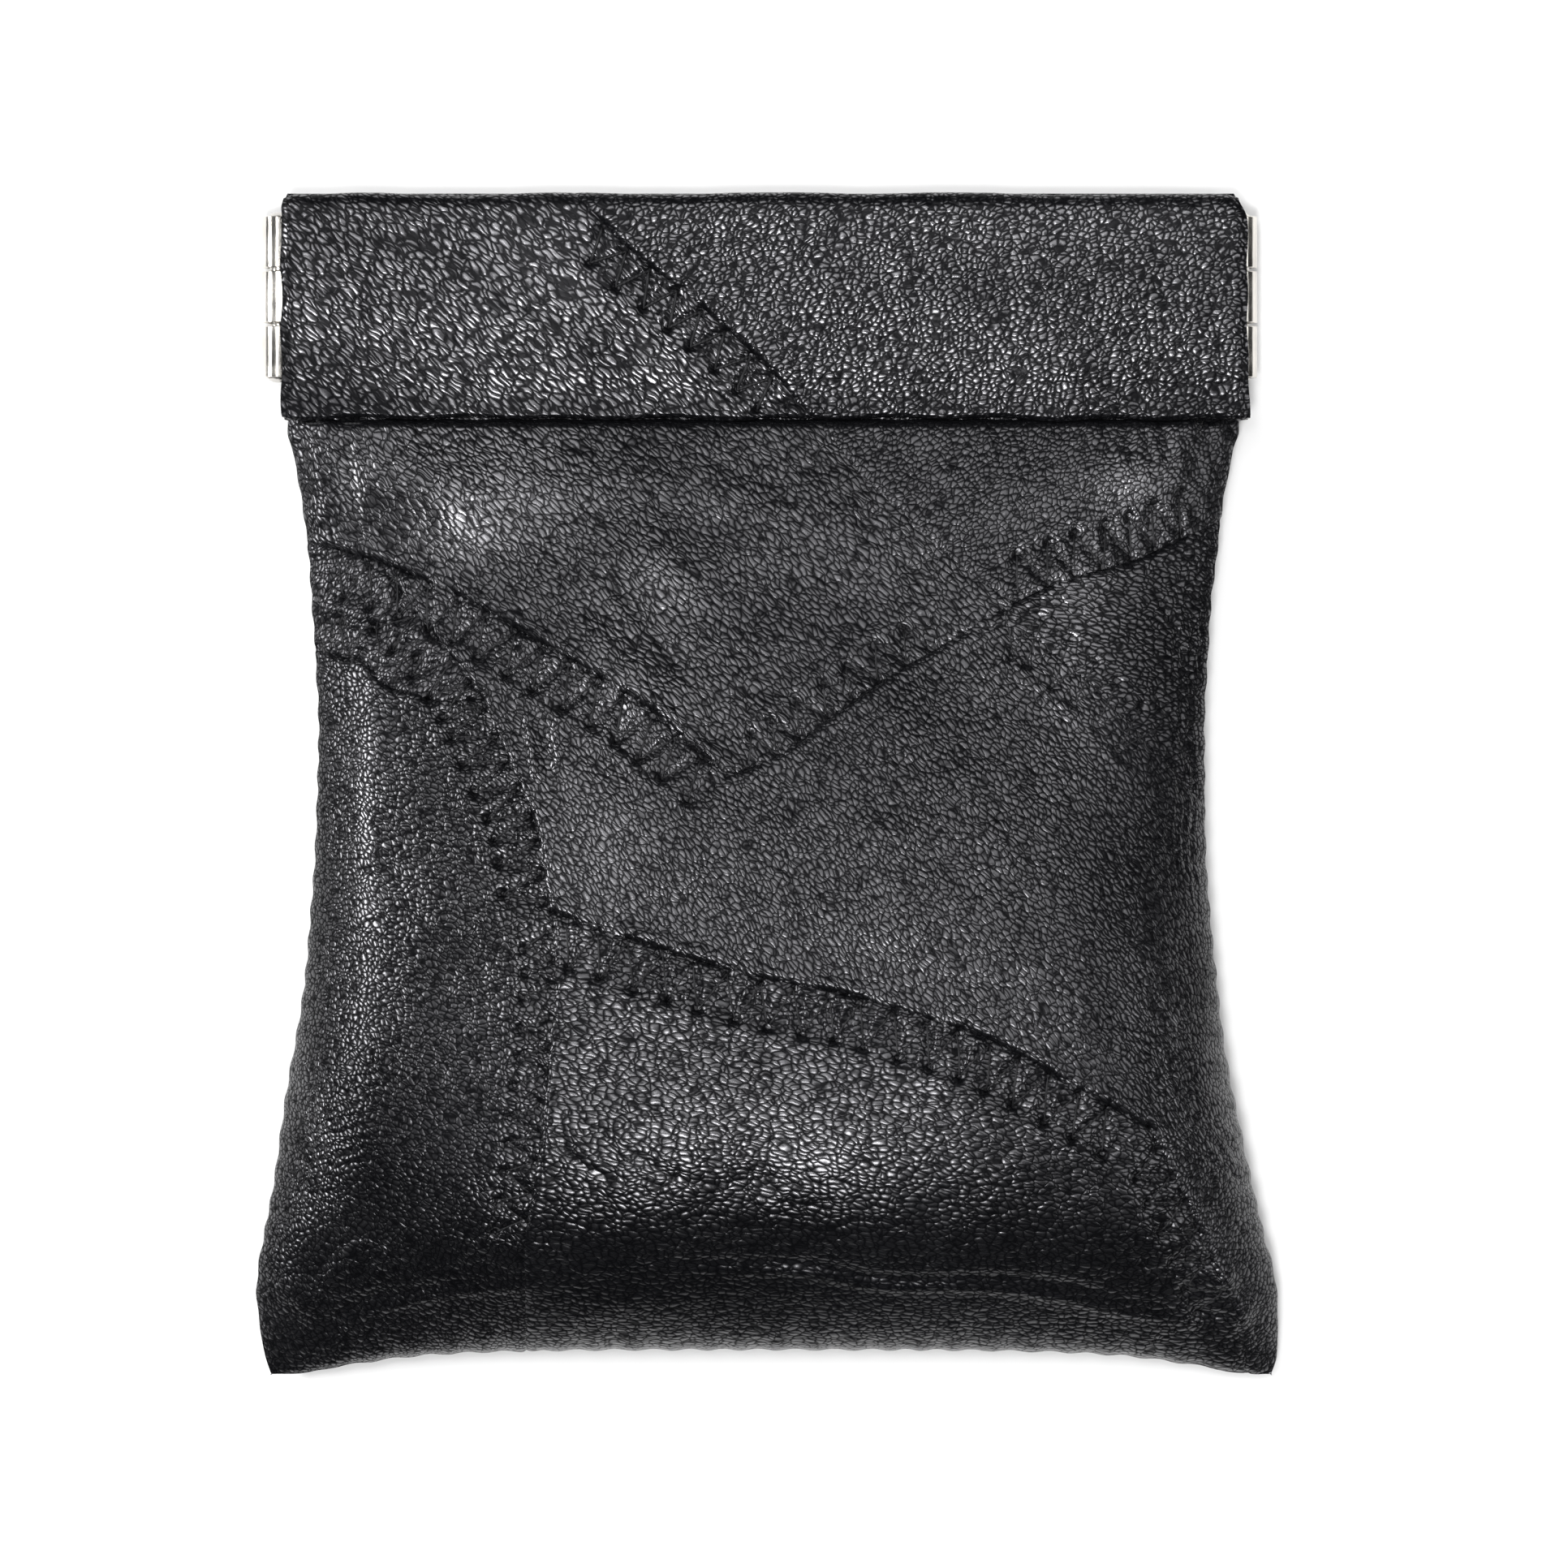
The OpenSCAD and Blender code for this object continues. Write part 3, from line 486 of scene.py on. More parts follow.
def tube(name_parts, radius, sides=6):
    """Vertices and faces of round threads along (points, normals) lines."""
    V, Q, at = [], [], 0
    ang = 2 * math.pi * np.arange(sides) / sides
    for pts, nrm in name_parts:
        n = len(pts)
        t = np.gradient(pts, axis=0)
        t /= np.maximum(np.linalg.norm(t, axis=1, keepdims=True), 1e-9)
        b = np.cross(t, nrm)
        b /= np.maximum(np.linalg.norm(b, axis=1, keepdims=True), 1e-9)
        m = np.cross(b, t)
        rr = np.full(n, radius)
        rr[0] = rr[-1] = radius * 0.35
        ring = pts[:, None, :] + rr[:, None, None] * (np.cos(ang)[None, :, None] * b[:, None, :] + np.sin(ang)[None, :, None] * m[:, None, :])
        V.append(ring.reshape(-1, 3))
        k = at + np.arange(n - 1)[:, None] * sides
        i = np.arange(sides)[None, :]
        i2 = (i + 1) % sides
        Q.append(np.stack([k + i, k + i2, k + sides + i2, k + sides + i], 2).reshape(-1, 4))
        for e, flip in ((at, 1), (at + (n - 1) * sides, 0)):
            for w in range(1, sides // 2):
                f = [e + w - 1 + 0, e + w, e + sides - 1 - w, e + (sides - w) % sides]
                Q.append(np.array([f[::-1] if flip else f]))
        at += n * sides
    return np.vstack(V), np.vstack(Q)


# ---------------------------------------------------------------- how far soft pieces would follow the mouth (worked out, not applied)
def share(x, y):
    """How far the leather has come from the panel (0) to the side seam (1) as the mouth opens: it is all the way there at
    the outline, so the two panels stay together, and it goes from the casing's bent shape at the top to a round one below."""
    edge = np.where(x < FSHIFT, FSHIFT - x_left(y), x_right(y) - FSHIFT)
    X = np.abs(x - FSHIFT) * (1 + ((BEND + LINK) / edge - 1) * (1 - step(30.8, TOP, y)))
    phi = THETA * step(BEND - 6, BEND + 6, X)
    bent = np.clip((X - BEND) * np.sin(phi) / (LINK * math.sin(THETA)), 0, 1)
    arch = np.clip(X / (BEND + LINK), 0, 1) ** 2.2
    return bent + (arch - bent) * (1 - step(4, 31, y))


def blend_sides(o, weight):
    """Bakes the transform and works out each vertex's weight across the joint, from the middle to both sides; the
    weight is not used.
    """
    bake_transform(o)
    co = np.zeros(len(o.data.vertices) * 3, np.float32)
    o.data.vertices.foreach_get("co", co)
    w = weight(co.reshape(-1, 3)[:, 0] / MM, co.reshape(-1, 3)[:, 1] / MM)


def as_front(o):
    blend_sides(o, lambda x, y: 1 - share(x, y))


def as_back(o):
    blend_sides(o, share)


# ---------------------------------------------------------------- materials
GRAIN_DEPTH, SHINE = 0.00014, 0.75


def new_material(name):
    m = bpy.data.materials.new(name)
    m.use_nodes = True
    n = m.node_tree.nodes
    n.clear()
    out, sh = n.new("ShaderNodeOutputMaterial"), n.new("ShaderNodeBsdfPrincipled")
    m.node_tree.links.new(sh.outputs["BSDF"], out.inputs["Surface"])
    return m, m.node_tree, sh


class Nodes:
    def __init__(self, tree):
        self.t = tree

    def add(self, kind, **set_):
        n = self.t.nodes.new(kind)
        for k, v in set_.items():
            setattr(n, k, v)
        return n

    def link(self, a, b):
        self.t.links.new(a, b)

    def math(self, op, a, b=None, clamp=False):
        n = self.add("ShaderNodeMath", operation=op, use_clamp=clamp)
        for i, v in enumerate((a, b)):
            if v is None:
                continue
            if isinstance(v, (int, float)):
                n.inputs[i].default_value = v
            else:
                self.link(v, n.inputs[i])
        return n.outputs[0]

    def ramp(self, value, stops):
        n = self.add("ShaderNodeValToRGB")
        e = n.color_ramp.elements
        while len(e) < len(stops):
            e.new(0.5)
        for i, (p, c) in enumerate(stops):
            e[i].position = p
            e[i].color = (*c, 1) if len(c) == 3 else (c[0], c[0], c[0], 1)
        self.link(value, n.inputs[0])
        return n.outputs[0]

    def noise(self, vec, scale, detail=2.0, rough=0.5, distort=0.0):
        n = self.add("ShaderNodeTexNoise")
        self.link(vec, n.inputs["Vector"])
        n.inputs["Scale"].default_value = scale
        n.inputs["Detail"].default_value = detail
        n.inputs["Roughness"].default_value = rough
        n.inputs["Distortion"].default_value = distort
        return n.outputs["Fac"], n.outputs["Color"]

    def voronoi(self, vec, scale, feature="F1", smooth=None):
        n = self.add("ShaderNodeTexVoronoi", feature=feature)
        self.link(vec, n.inputs["Vector"])
        n.inputs["Scale"].default_value = scale
        if smooth is not None:
            n.inputs["Smoothness"].default_value = smooth
        return n.outputs["Distance"]


def leather_material(name, tone, rough, grain, turn, long, seed, coat=0.10, valley=0.03, shine=SHINE):
    """Grained black leather: small drawn-out pebbles that run one way, with creases between them, slow changes of gloss
    and tone, dust-grey wear on the high spots, and painted shade in the creases between the pebbles and in the sunk
    seams."""
    m, tree, sh = new_material(name)
    g = Nodes(tree)
    rest = g.add("ShaderNodeAttribute", attribute_name="rest").outputs["Vector"]
    mp = g.add("ShaderNodeMapping", vector_type="TEXTURE")
    g.link(rest, mp.inputs["Vector"])
    mp.inputs["Location"].default_value = (0.013 * seed, 0.007 * seed, 0.003 * seed)
    mp.inputs["Rotation"].default_value = (0, 0, math.radians(turn))
    mp.inputs["Scale"].default_value = (long, 1.0, 1.0)
    base = mp.outputs["Vector"]
    _, wob = g.noise(rest, 620, 1)
    centred = g.add("ShaderNodeVectorMath", operation="SUBTRACT")
    g.link(wob, centred.inputs[0])
    centred.inputs[1].default_value = (0.5, 0.5, 0.5)
    add = g.add("ShaderNodeVectorMath", operation="MULTIPLY_ADD")
    g.link(centred.outputs[0], add.inputs[0])
    add.inputs[1].default_value = (0.0006, 0.0006, 0.0006)
    g.link(base, add.inputs[2])
    vec = add.outputs[0]
    cell = g.voronoi(vec, grain, "SMOOTH_F1", 0.3)
    edge = g.voronoi(vec, grain, "DISTANCE_TO_EDGE")
    worm, _ = g.noise(vec, grain * 0.85, 1.5, 0.5, 0.4)
    pores, _ = g.noise(rest, 6500, 2, 0.6)
    slow, _ = g.noise(rest, 55, 3, 0.55)
    mid, _ = g.noise(rest, 260, 3, 0.6)
    dome = g.math("SUBTRACT", 1.0, g.math("MULTIPLY", cell, cell))
    crease = g.math("MULTIPLY", edge, 6.0, clamp=True)
    soft_crease = g.math("MULTIPLY", edge, 3.0, clamp=True)
    height = g.math("ADD", g.math("MULTIPLY", dome, 0.55), g.math("MULTIPLY", soft_crease, 0.07))
    height = g.math("ADD", height, g.math("MULTIPLY", worm, 0.16))
    height = g.math("ADD", height, g.math("MULTIPLY", pores, 0.006))
    amount = g.math("ADD", g.math("MULTIPLY", mid, 1.3), 0.35)
    height = g.math("MULTIPLY", height, amount)
    bump = g.add("ShaderNodeBump")
    bump.inputs["Strength"].default_value = 1.0
    bump.inputs["Distance"].default_value = GRAIN_DEPTH
    g.link(height, bump.inputs["Height"])
    g.link(bump.outputs["Normal"], sh.inputs["Normal"])
    g.link(bump.outputs["Normal"], sh.inputs["Coat Normal"])
    relief = g.add("ShaderNodeAttribute", attribute_name="relief").outputs["Fac"]
    worn = g.math("MULTIPLY", g.math("ADD", relief, 0.02), 2.2, clamp=True)
    sunk = g.math("MULTIPLY", g.math("ADD", relief, 0.12), -3.0, clamp=True)
    r, gr, b = tone
    tone_mix = g.ramp(slow, [(0.25, (r * 0.72, gr * 0.72, b * 0.74)), (0.55, (r, gr, b)), (0.8, (r * 1.35, gr * 1.35, b * 1.38))])
    lift = g.add("ShaderNodeMix", data_type="RGBA", blend_type="MIX")
    g.link(g.math("MULTIPLY", worn, 0.4), lift.inputs["Factor"])
    g.link(tone_mix, lift.inputs["A"])
    lift.inputs["B"].default_value = (r * 2.2, gr * 2.2, b * 2.2, 1)
    # painted shade: the base colour is darkened in the sunk seam grooves and needle holes and in the creases between
    # the pebbles
    shade_paint = g.add("ShaderNodeMix", data_type="RGBA", blend_type="MULTIPLY")
    g.link(g.math("MAXIMUM", g.math("MULTIPLY", sunk, 0.9), g.math("MULTIPLY", g.math("SUBTRACT", 1.0, crease), 0.6)), shade_paint.inputs["Factor"])
    g.link(lift.outputs["Result"], shade_paint.inputs["A"])
    shade_paint.inputs["B"].default_value = (0.25, 0.25, 0.27, 1)
    g.link(shade_paint.outputs["Result"], sh.inputs["Base Color"])
    ro = g.math("ADD", g.math("MULTIPLY", slow, 0.20), rough - 0.10)
    ro = g.math("ADD", ro, g.math("MULTIPLY", g.math("SUBTRACT", 1.0, crease), 0.10))
    ro = g.math("ADD", ro, g.math("MULTIPLY", sunk, 0.10))
    g.link(ro, sh.inputs["Roughness"])
    # hardly any gloss comes out of the creases between the pebbles and out of the seams
    tops = g.math("MULTIPLY", g.math("SUBTRACT", edge, valley), 5.5, clamp=True)
    gloss = g.math("MULTIPLY", g.math("ADD", g.math("MULTIPLY", tops, 0.93), 0.07), g.math("SUBTRACT", 1.0, g.math("MULTIPLY", sunk, 0.5)))
    rubbed = g.add("ShaderNodeAttribute", attribute_name="polish").outputs["Fac"]
    gloss = g.math("MULTIPLY", gloss, g.math("ADD", rubbed, 1.0))
    sh.inputs["Specular IOR Level"].default_value = 0.4
    g.link(g.math("MULTIPLY", gloss, shine), sh.inputs["Specular IOR Level"])
    g.link(g.math("MULTIPLY", gloss, coat), sh.inputs["Coat Weight"])
    sh.inputs["Specular Tint"].default_value = (0.96, 0.95, 1.0, 1)
    sh.inputs["Coat Roughness"].default_value = 0.22
    return m


def thread_material():
    m, tree, sh = new_material("thread")
    g = Nodes(tree)
    rest = g.add("ShaderNodeAttribute", attribute_name="rest").outputs["Vector"]
    n, _ = g.noise(rest, 6000, 2)
    w = g.add("ShaderNodeTexWave")
    g.link(rest, w.inputs["Vector"])
    w.inputs["Scale"].default_value = 900
    w.inputs["Distortion"].default_value = 2.5
    c = g.ramp(w.outputs["Fac"], [(0.2, (0.006, 0.006, 0.007)), (0.9, (0.018, 0.018, 0.020))])
    g.link(c, sh.inputs["Base Color"])
    b = g.add("ShaderNodeBump")
    b.inputs["Strength"].default_value = 0.6
    b.inputs["Distance"].default_value = 0.00006
    g.link(g.math("ADD", w.outputs["Fac"], n), b.inputs["Height"])
    g.link(b.outputs["Normal"], sh.inputs["Normal"])
    sh.inputs["Roughness"].default_value = 0.6
    sh.inputs["Specular IOR Level"].default_value = 0.25
    return m


def metal_material(name, colour, rough):
    """Nickel plate with fine rolling marks and faint stains."""
    m, tree, sh = new_material(name)
    g = Nodes(tree)
    rest = g.add("ShaderNodeAttribute", attribute_name="rest").outputs["Vector"]
    mp = g.add("ShaderNodeMapping")
    g.link(rest, mp.inputs["Vector"])
    mp.inputs["Scale"].default_value = (1, 0.08, 1)
    lines, _ = g.noise(mp.outputs["Vector"], 6500, 2)
    stain, _ = g.noise(rest, 420, 3, 0.6)
    c = g.ramp(stain, [(0.3, tuple(0.82 * k for k in colour)), (0.6, colour)])
    g.link(c, sh.inputs["Base Color"])
    sh.inputs["Metallic"].default_value = 1.0
    g.link(g.math("ADD", g.math("MULTIPLY", lines, 0.14), g.math("MULTIPLY", stain, 0.12 + rough - 0.12)), sh.inputs["Roughness"])
    b = g.add("ShaderNodeBump")
    b.inputs["Strength"].default_value = 0.25
    b.inputs["Distance"].default_value = 0.00002
    g.link(lines, b.inputs["Height"])
    g.link(b.outputs["Normal"], sh.inputs["Normal"])
    return m


def lining_material():
    """Fine plain-woven cloth."""
    m, tree, sh = new_material("lining_cloth")
    g = Nodes(tree)
    rest = g.add("ShaderNodeAttribute", attribute_name="rest").outputs["Vector"]
    waves = []
    for axis in ("X", "Y"):
        w = g.add("ShaderNodeTexWave", wave_type="BANDS", bands_direction=axis)
        g.link(rest, w.inputs["Vector"])
        w.inputs["Scale"].default_value = 900
        w.inputs["Distortion"].default_value = 0.6
        waves.append(w.outputs["Fac"])
    weave = g.math("MAXIMUM", *waves)
    n, _ = g.noise(rest, 160, 3)
    c = g.ramp(g.math("MULTIPLY", weave, n), [(0.1, (0.010, 0.010, 0.012)), (0.7, (0.036, 0.036, 0.040))])
    g.link(c, sh.inputs["Base Color"])
    b = g.add("ShaderNodeBump")
    b.inputs["Strength"].default_value = 0.5
    b.inputs["Distance"].default_value = 0.00008
    g.link(weave, b.inputs["Height"])
    g.link(b.outputs["Normal"], sh.inputs["Normal"])
    sh.inputs["Roughness"].default_value = 0.75
    sh.inputs["Sheen Weight"].default_value = 0.3
    return m


BLACK = (0.0044, 0.0045, 0.0053)
LEATHERS = {
    "a": leather_material("leather_a", BLACK, 0.25, 2450, -44, 2.3, 1),
    "b": leather_material("leather_b", tuple(k * 1.08 for k in BLACK), 0.27, 2350, 40, 1.25, 2),
    "c": leather_material("leather_c", tuple(k * 0.93 for k in BLACK), 0.26, 2500, -32, 1.5, 3, valley=0.055),
    "d": leather_material("leather_d", tuple(k * 1.04 for k in BLACK), 0.26, 2550, -48, 1.9, 4),
    "e": leather_material("leather_e", tuple(k * 1.0 for k in BLACK), 0.26, 2350, -12, 1.9, 6, valley=0.05),
    "casing": leather_material("leather_casing", tuple(k * 1.02 for k in BLACK), 0.24, 2300, -40, 2.6, 5, valley=0.10, shine=1.32),
    "casing_b": leather_material("leather_casing_b", tuple(k * 1.05 for k in BLACK), 0.24, 2200, 15, 1.35, 7, valley=0.10, shine=1.2),
}
THREAD = thread_material()
NICKEL = metal_material("nickel", (0.78, 0.75, 0.70), 0.26)
PIN_METAL = metal_material("pin_steel", (0.62, 0.60, 0.57), 0.34)
LINING = lining_material()


def finish_piece(o, mat, slot, *nodes):
    o.data.materials.append(mat)
    if nodes:
        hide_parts(*nodes)
    return o


# ---------------------------------------------------------------- the two panels
HALF = 205
ROWS = 370


def panel_grid(half, rows, v_top):
    s = np.linspace(-1, 1, 2 * half + 1)
    u = 0.45 * s + 0.55 * np.sin(math.pi / 2 * s)
    v = v_top * np.linspace(0, 1, rows + 1) ** 1.32
    U, V = np.meshgrid(u, v)
    return to_plan(U, V)


def snap(X, Y, lines):
    """Moves grid points that nearly lie on a seam onto it, so that patches meet on the seam."""
    hx = np.abs(np.gradient(X, axis=1))
    hy = np.abs(np.gradient(Y, axis=0))
    moved = np.zeros(X.shape, bool)
    for line in lines:
        d, s, past = field(X, Y, line, 1.0)
        run = np.concatenate([[0], np.cumsum(np.linalg.norm(np.diff(line, axis=0), axis=1))])
        qx, qy = np.interp(s, run, line[:, 0]), np.interp(s, run, line[:, 1])
        nx, ny = np.abs(X - qx) / np.maximum(np.abs(d), 1e-9), np.abs(Y - qy) / np.maximum(np.abs(d), 1e-9)
        take = (np.abs(d) < 0.52 * np.maximum(hx * nx, hy * ny)) & (past <= 0) & ~moved
        take[0, :] = take[-1, :] = take[:, 0] = take[:, -1] = False
        X, Y = np.where(take, qx, X), np.where(take, qy, Y)
        moved |= take
    return X, Y


def inside(x, y, poly):
    r = np.zeros(x.shape, bool)
    for (ax, ay), (bx, by) in zip(poly, np.roll(poly, -1, axis=0)):
        if ay == by:
            continue
        cross = ((ay > y) != (by > y)) & (x < (bx - ax) * (y - ay) / (by - ay) + ax)
        r ^= cross
    return r


def labels(X, Y, polys):
    cx = (X[:-1, :-1] + X[1:, :-1] + X[:-1, 1:] + X[1:, 1:]) / 4
    cy = (Y[:-1, :-1] + Y[1:, :-1] + Y[:-1, 1:] + Y[1:, 1:]) / 4
    lab = np.full(cx.shape, -1)
    for k, p in enumerate(polys):
        lab[inside(cx, cy, np.array(p, float)) & (lab < 0)] = k
    for _ in range(60):
        if (lab >= 0).all():
            break
        for sh in ((0, 1), (0, -1), (1, 0), (-1, 0)):
            near = np.roll(lab, sh, (0, 1))
            lab = np.where((lab < 0) & (near >= 0), near, lab)
    return lab


def rev(line):
    return list(line)[::-1]


def panel(z_of, relief_of, up, v_top, lines, polys, half, rows):
    X, Y = panel_grid(half, rows, v_top)
    X, Y = snap(X, Y, lines)
    lab = labels(X, Y, polys)
    u, v = to_uv(X, Y)
    base = np.stack([X, Y, z_of(u, v)], 2)
    n = grid_normals(base) * up
    rel = relief_of(X, Y)
    return base, n, rel, lab, (u, v)


vl_part = [p for p in L_VL if p[0] > -34.6]
P_FRONT = [
    ("front_patch_top_left", "a", [(-60, 45), (3.2, 45)] + list(L_DIAG) + rev(L_RA) + rev(L_VR) + rev(L_VL) + [(-60, 22.8)]),
    ("front_patch_top_right", "b", [(3.2, 45)] + list(L_DIAG) + list(L_RB) + [(60, 26.2), (60, 45)]),
    ("front_patch_right", "e", list(L_RA) + list(L_RB) + [(60, 26.2), (60, -7.5)] + rev(L_ARC)),
    ("front_patch_centre", "d", list(L_C) + list(L_D) + list(L_DE) + [(60, -38), (60, -7.5)] + rev(L_ARC) + rev(L_VR) + rev(vl_part)),
    ("front_patch_left_edge", "b", list(L_H) + rev(L_CU) + rev([p for p in L_VL if p[0] < -34.5]) + [(-60, 22.8), (-60, 13.4)]),
    ("front_patch_lower", "e", list(L_D) + list(L_G) + rev(L_E)),
    ("front_patch_corner", "b", list(L_DE) + [(60, -38), (60, -60)] + rev(L_G)),
    ("front_patch_left", "c", [(-60, 30), (60, 30), (60, -60), (-60, -60)]),
]
base, nrm, rel, lab, (U, V) = panel(front_z, front_relief, 1, 1.04, [s[0] for s in SEAMS], [p[2] for p in P_FRONT], HALF, ROWS)
outer = base + nrm * rel[:, :, None]
outer[:, :, 2] = np.maximum(outer[:, :, 2], seam_z(U, V) + 0.06)
tuck = step(32.2, 32.9, base[:, :, 1])
outer[:, :, 2] = outer[:, :, 2] * (1 - tuck) + np.minimum(outer[:, :, 2], 4.06) * tuck
thick = LEATHER - 0.25 * tuck
inner = base - nrm * thick[:, :, None]
inner[:, :, 2] = np.maximum(inner[:, :, 2], seam_z(U, V) + 0.06)
mark = seams_only(base[:, :, 0], base[:, :, 1], SEAMS)
rubbed = polish(base[:, :, 0], base[:, :, 1])
for k, (name, kind, _) in enumerate(P_FRONT):
    o = shell(name.replace("front_patch", "leather_front"), outer, inner, lab == k, mark, rubbed)
    finish_piece(o, LEATHERS[kind], "leather", name)
    as_front(o)

P_BACK = [
    ("back_patch_top", "b", [(-60, 60)] + [(-60, 2)] + list(BSEAMS[0][0]) + list(BSEAMS[1][0]) + [(60, 9.5), (60, 60)]),
    ("back_patch_left", "d", [(-60, 2)] + list(BSEAMS[0][0]) + list(BSEAMS[2][0]) + [(-60, -60)]),
    ("back_patch_right", "a", [(-60, 60), (60, 60), (60, -60), (-60, -60)]),
]
bb, bn, brel, blab, (BU, BV) = panel(back_z, back_relief, -1, 1.035, [s[0] for s in BSEAMS], [p[2] for p in P_BACK],
                                     HALF * 2 // 3, ROWS * 2 // 3)
brel = np.minimum(brel - 0.12, 0.0)
bouter = bb + bn * brel[:, :, None]
btuck = step(32.2, 32.9, bb[:, :, 1])
bouter[:, :, 2] = np.minimum(bouter[:, :, 2], seam_z(BU, BV) - 0.06)
bouter[:, :, 2] = np.maximum(bouter[:, :, 2], 0.94 * btuck)
binner = bb - bn * (LEATHER - 0.25 * btuck)[:, :, None]
binner[:, :, 2] = np.minimum(binner[:, :, 2], seam_z(BU, BV) - 0.06)
for k, (name, kind, _) in enumerate(P_BACK):
    o = shell(name.replace("back_patch", "leather_back"), bouter[:, ::-1], binner[:, ::-1], (blab == k)[:, ::-1], brel[:, ::-1])
    finish_piece(o, LEATHERS[kind], "leather", name)
    as_back(o)

# cloth linings, just inside the leather
for name, zf, up in (("front_lining", front_z, 1), ("back_lining", back_z, -1)):
    s = np.linspace(-1, 1, 141)
    u = (0.45 * s + 0.55 * np.sin(math.pi / 2 * s)) * 0.975
    v = 0.02 + 0.985 * np.linspace(0, 1, 121) ** 1.3
    LU, LV = np.meshgrid(u, v)
    X, Y = to_plan(LU, LV)
    b = np.stack([X, Y, zf(LU, LV)], 2)
    n = grid_normals(b) * up
    ripple = np.maximum(0.12 * noise(X, Y, 6, 41) * (1 - step(0.8, 0.97, LV)), 0)
    lo = b - n * (LEATHER + 0.14 + ripple)[:, :, None]
    li = b - n * (LEATHER + 0.38 + ripple)[:, :, None]
    lo[:, :, 2] = np.maximum(lo[:, :, 2], seam_z(LU, LV) + 0.1) if up > 0 else np.minimum(lo[:, :, 2], seam_z(LU, LV) - 0.1)
    li[:, :, 2] = np.maximum(li[:, :, 2], seam_z(LU, LV) + 0.1) if up > 0 else np.minimum(li[:, :, 2], seam_z(LU, LV) - 0.1)
    if up < 0:
        lo, li = lo[:, ::-1], li[:, ::-1]
    o = shell("cloth_" + name, lo, li)
    finish_piece(o, LINING, "lining_cloth", name)
    (as_front if up > 0 else as_back)(o)


# ---------------------------------------------------------------- zigzag threads
def surface(x, y, zf, relief_of, up, lift):
    """Points on a panel's outer surface, and its normals there."""
    def z_at(a, b):
        u, v = to_uv(a, b)
        return zf(u, v)
    e = 0.05
    z = z_at(x, y)
    n = np.stack([-(z_at(x + e, y) - z_at(x - e, y)) / (2 * e), -(z_at(x, y + e) - z_at(x, y - e)) / (2 * e), np.ones_like(x)], 1) * up
    n /= np.linalg.norm(n, axis=1, keepdims=True)
    return np.stack([x, y, z], 1) + n * (relief_of(x, y) + lift)[:, None], n


def zigzag_plan(seam, per=7):
    """Plan points of a zigzag thread beside a seam line, and how near each is to a needle hole."""
    line, z0, z1, _, side, za, zb, pitch, _ = seam
    run = np.concatenate([[0], np.cumsum(np.linalg.norm(np.diff(line, axis=0), axis=1))])
    half = pitch / 2
    n = int((min(z1, run[-1]) - z0) / half)
    f = np.arange(n * per + 1) / per
    grid = np.linspace(-1, run[-1] + 1, 2000)
    s = np.interp(z0 + f * half, grid + jog(grid), grid)
    k = np.floor(f)
    t = f - k
    d = side * np.where(k % 2 == 0, za + (zb - za) * t, zb - (zb - za) * t)
    px, py = np.interp(s, run, line[:, 0]), np.interp(s, run, line[:, 1])
    tx, ty = np.gradient(px), np.gradient(py)
    L = np.hypot(tx, ty)
    return px + d * ty / L, py - d * tx / L, np.abs(f - np.rint(f))


parts = []
for seam in SEAMS:
    if seam[1] > 80:
        continue
    x, y, off = zigzag_plan(seam)
    lift = np.where(off < 0.08, -0.10, -0.01) - max(0, 1 - seam[3]) * 0.10
    p, n = surface(x, y, front_z, front_relief, 1, lift)
    parts.append((p, n))
v_, q_ = tube(parts, 0.10)
o, _ = mesh_object("zigzag_front", v_, q_, sharp=0)
finish_piece(o, THREAD, "thread", "front_zigzag_thread")
as_front(o)

parts = []
for seam in BSEAMS:
    x, y, off = zigzag_plan(seam)
    keep = (np.abs(to_uv(x, y)[0]) < 0.93) & (y > -47.5)
    first, last = np.nonzero(keep)[0][[0, -1]]
    x, y, off = x[first:last], y[first:last], off[first:last]
    p, n = surface(x, y, back_z, lambda a_, b_: np.minimum(back_relief(a_, b_) - 0.12, 0), -1, np.where(off < 0.08, 0.0, 0.05) - 0.05)
    p[:, 2] = np.maximum(p[:, 2], 0.14)
    parts.append((p, n))
v_, q_ = tube(parts, 0.13)
o, _ = mesh_object("zigzag_back", v_, q_, sharp=0)
finish_piece(o, THREAD, "thread", "back_zigzag_thread")
as_back(o)


# ---------------------------------------------------------------- mouth casings
def casing_path(bulge, fine):
    """Cross-section of a casing as (outer y, outer z, inner y, inner z), from its lower edge over the fold to its inner hem."""
    a = np.linspace(0, math.pi / 2, 8)
    oy, oz = 32.5 + 0.55 * (1 - np.cos(a)), 4.42 + 0.55 * np.sin(a)
    iy, iz = 32.78 + 0.27 * a / (math.pi / 2), np.full(8, 4.2)
    y = np.linspace(33.05, 51.1, fine)[1:]
    t = (y - 33.05) / 18.05
    z = 4.97 + bulge * (0.26 * np.sin(math.pi * np.clip(t, 0, 1)) ** 0.8) - 0.10 * np.exp(-((y - 35.2) / 1.2) ** 2) * (bulge > 0)
    z += 0.07 * step(0.9, 1.0, t)
    oy, oz, iy, iz = np.append(oy, y), np.append(oz, z), np.append(iy, y), np.append(iz, np.full(len(y), 4.2))
    a = np.linspace(math.pi / 2, -math.pi / 2, 26)[1:]
    oy, oz = np.append(oy, 51.1 + 1.6 * np.cos(a)), np.append(oz, 3.84 + 1.2 * np.sin(a))
    iy, iz = np.append(iy, 51.1 + 1.0 * np.cos(a)), np.append(iz, 3.67 + 0.53 * np.sin(a))
    y = np.linspace(51.1, 33.5, 30)[1:]
    oy, oz, iy, iz = np.append(oy, y), np.append(oz, np.full(len(y), 2.64)), np.append(iy, y), np.append(iz, np.full(len(y), 3.14))
    n_out = 8 + fine - 1
    return oy, oz, iy, iz, n_out


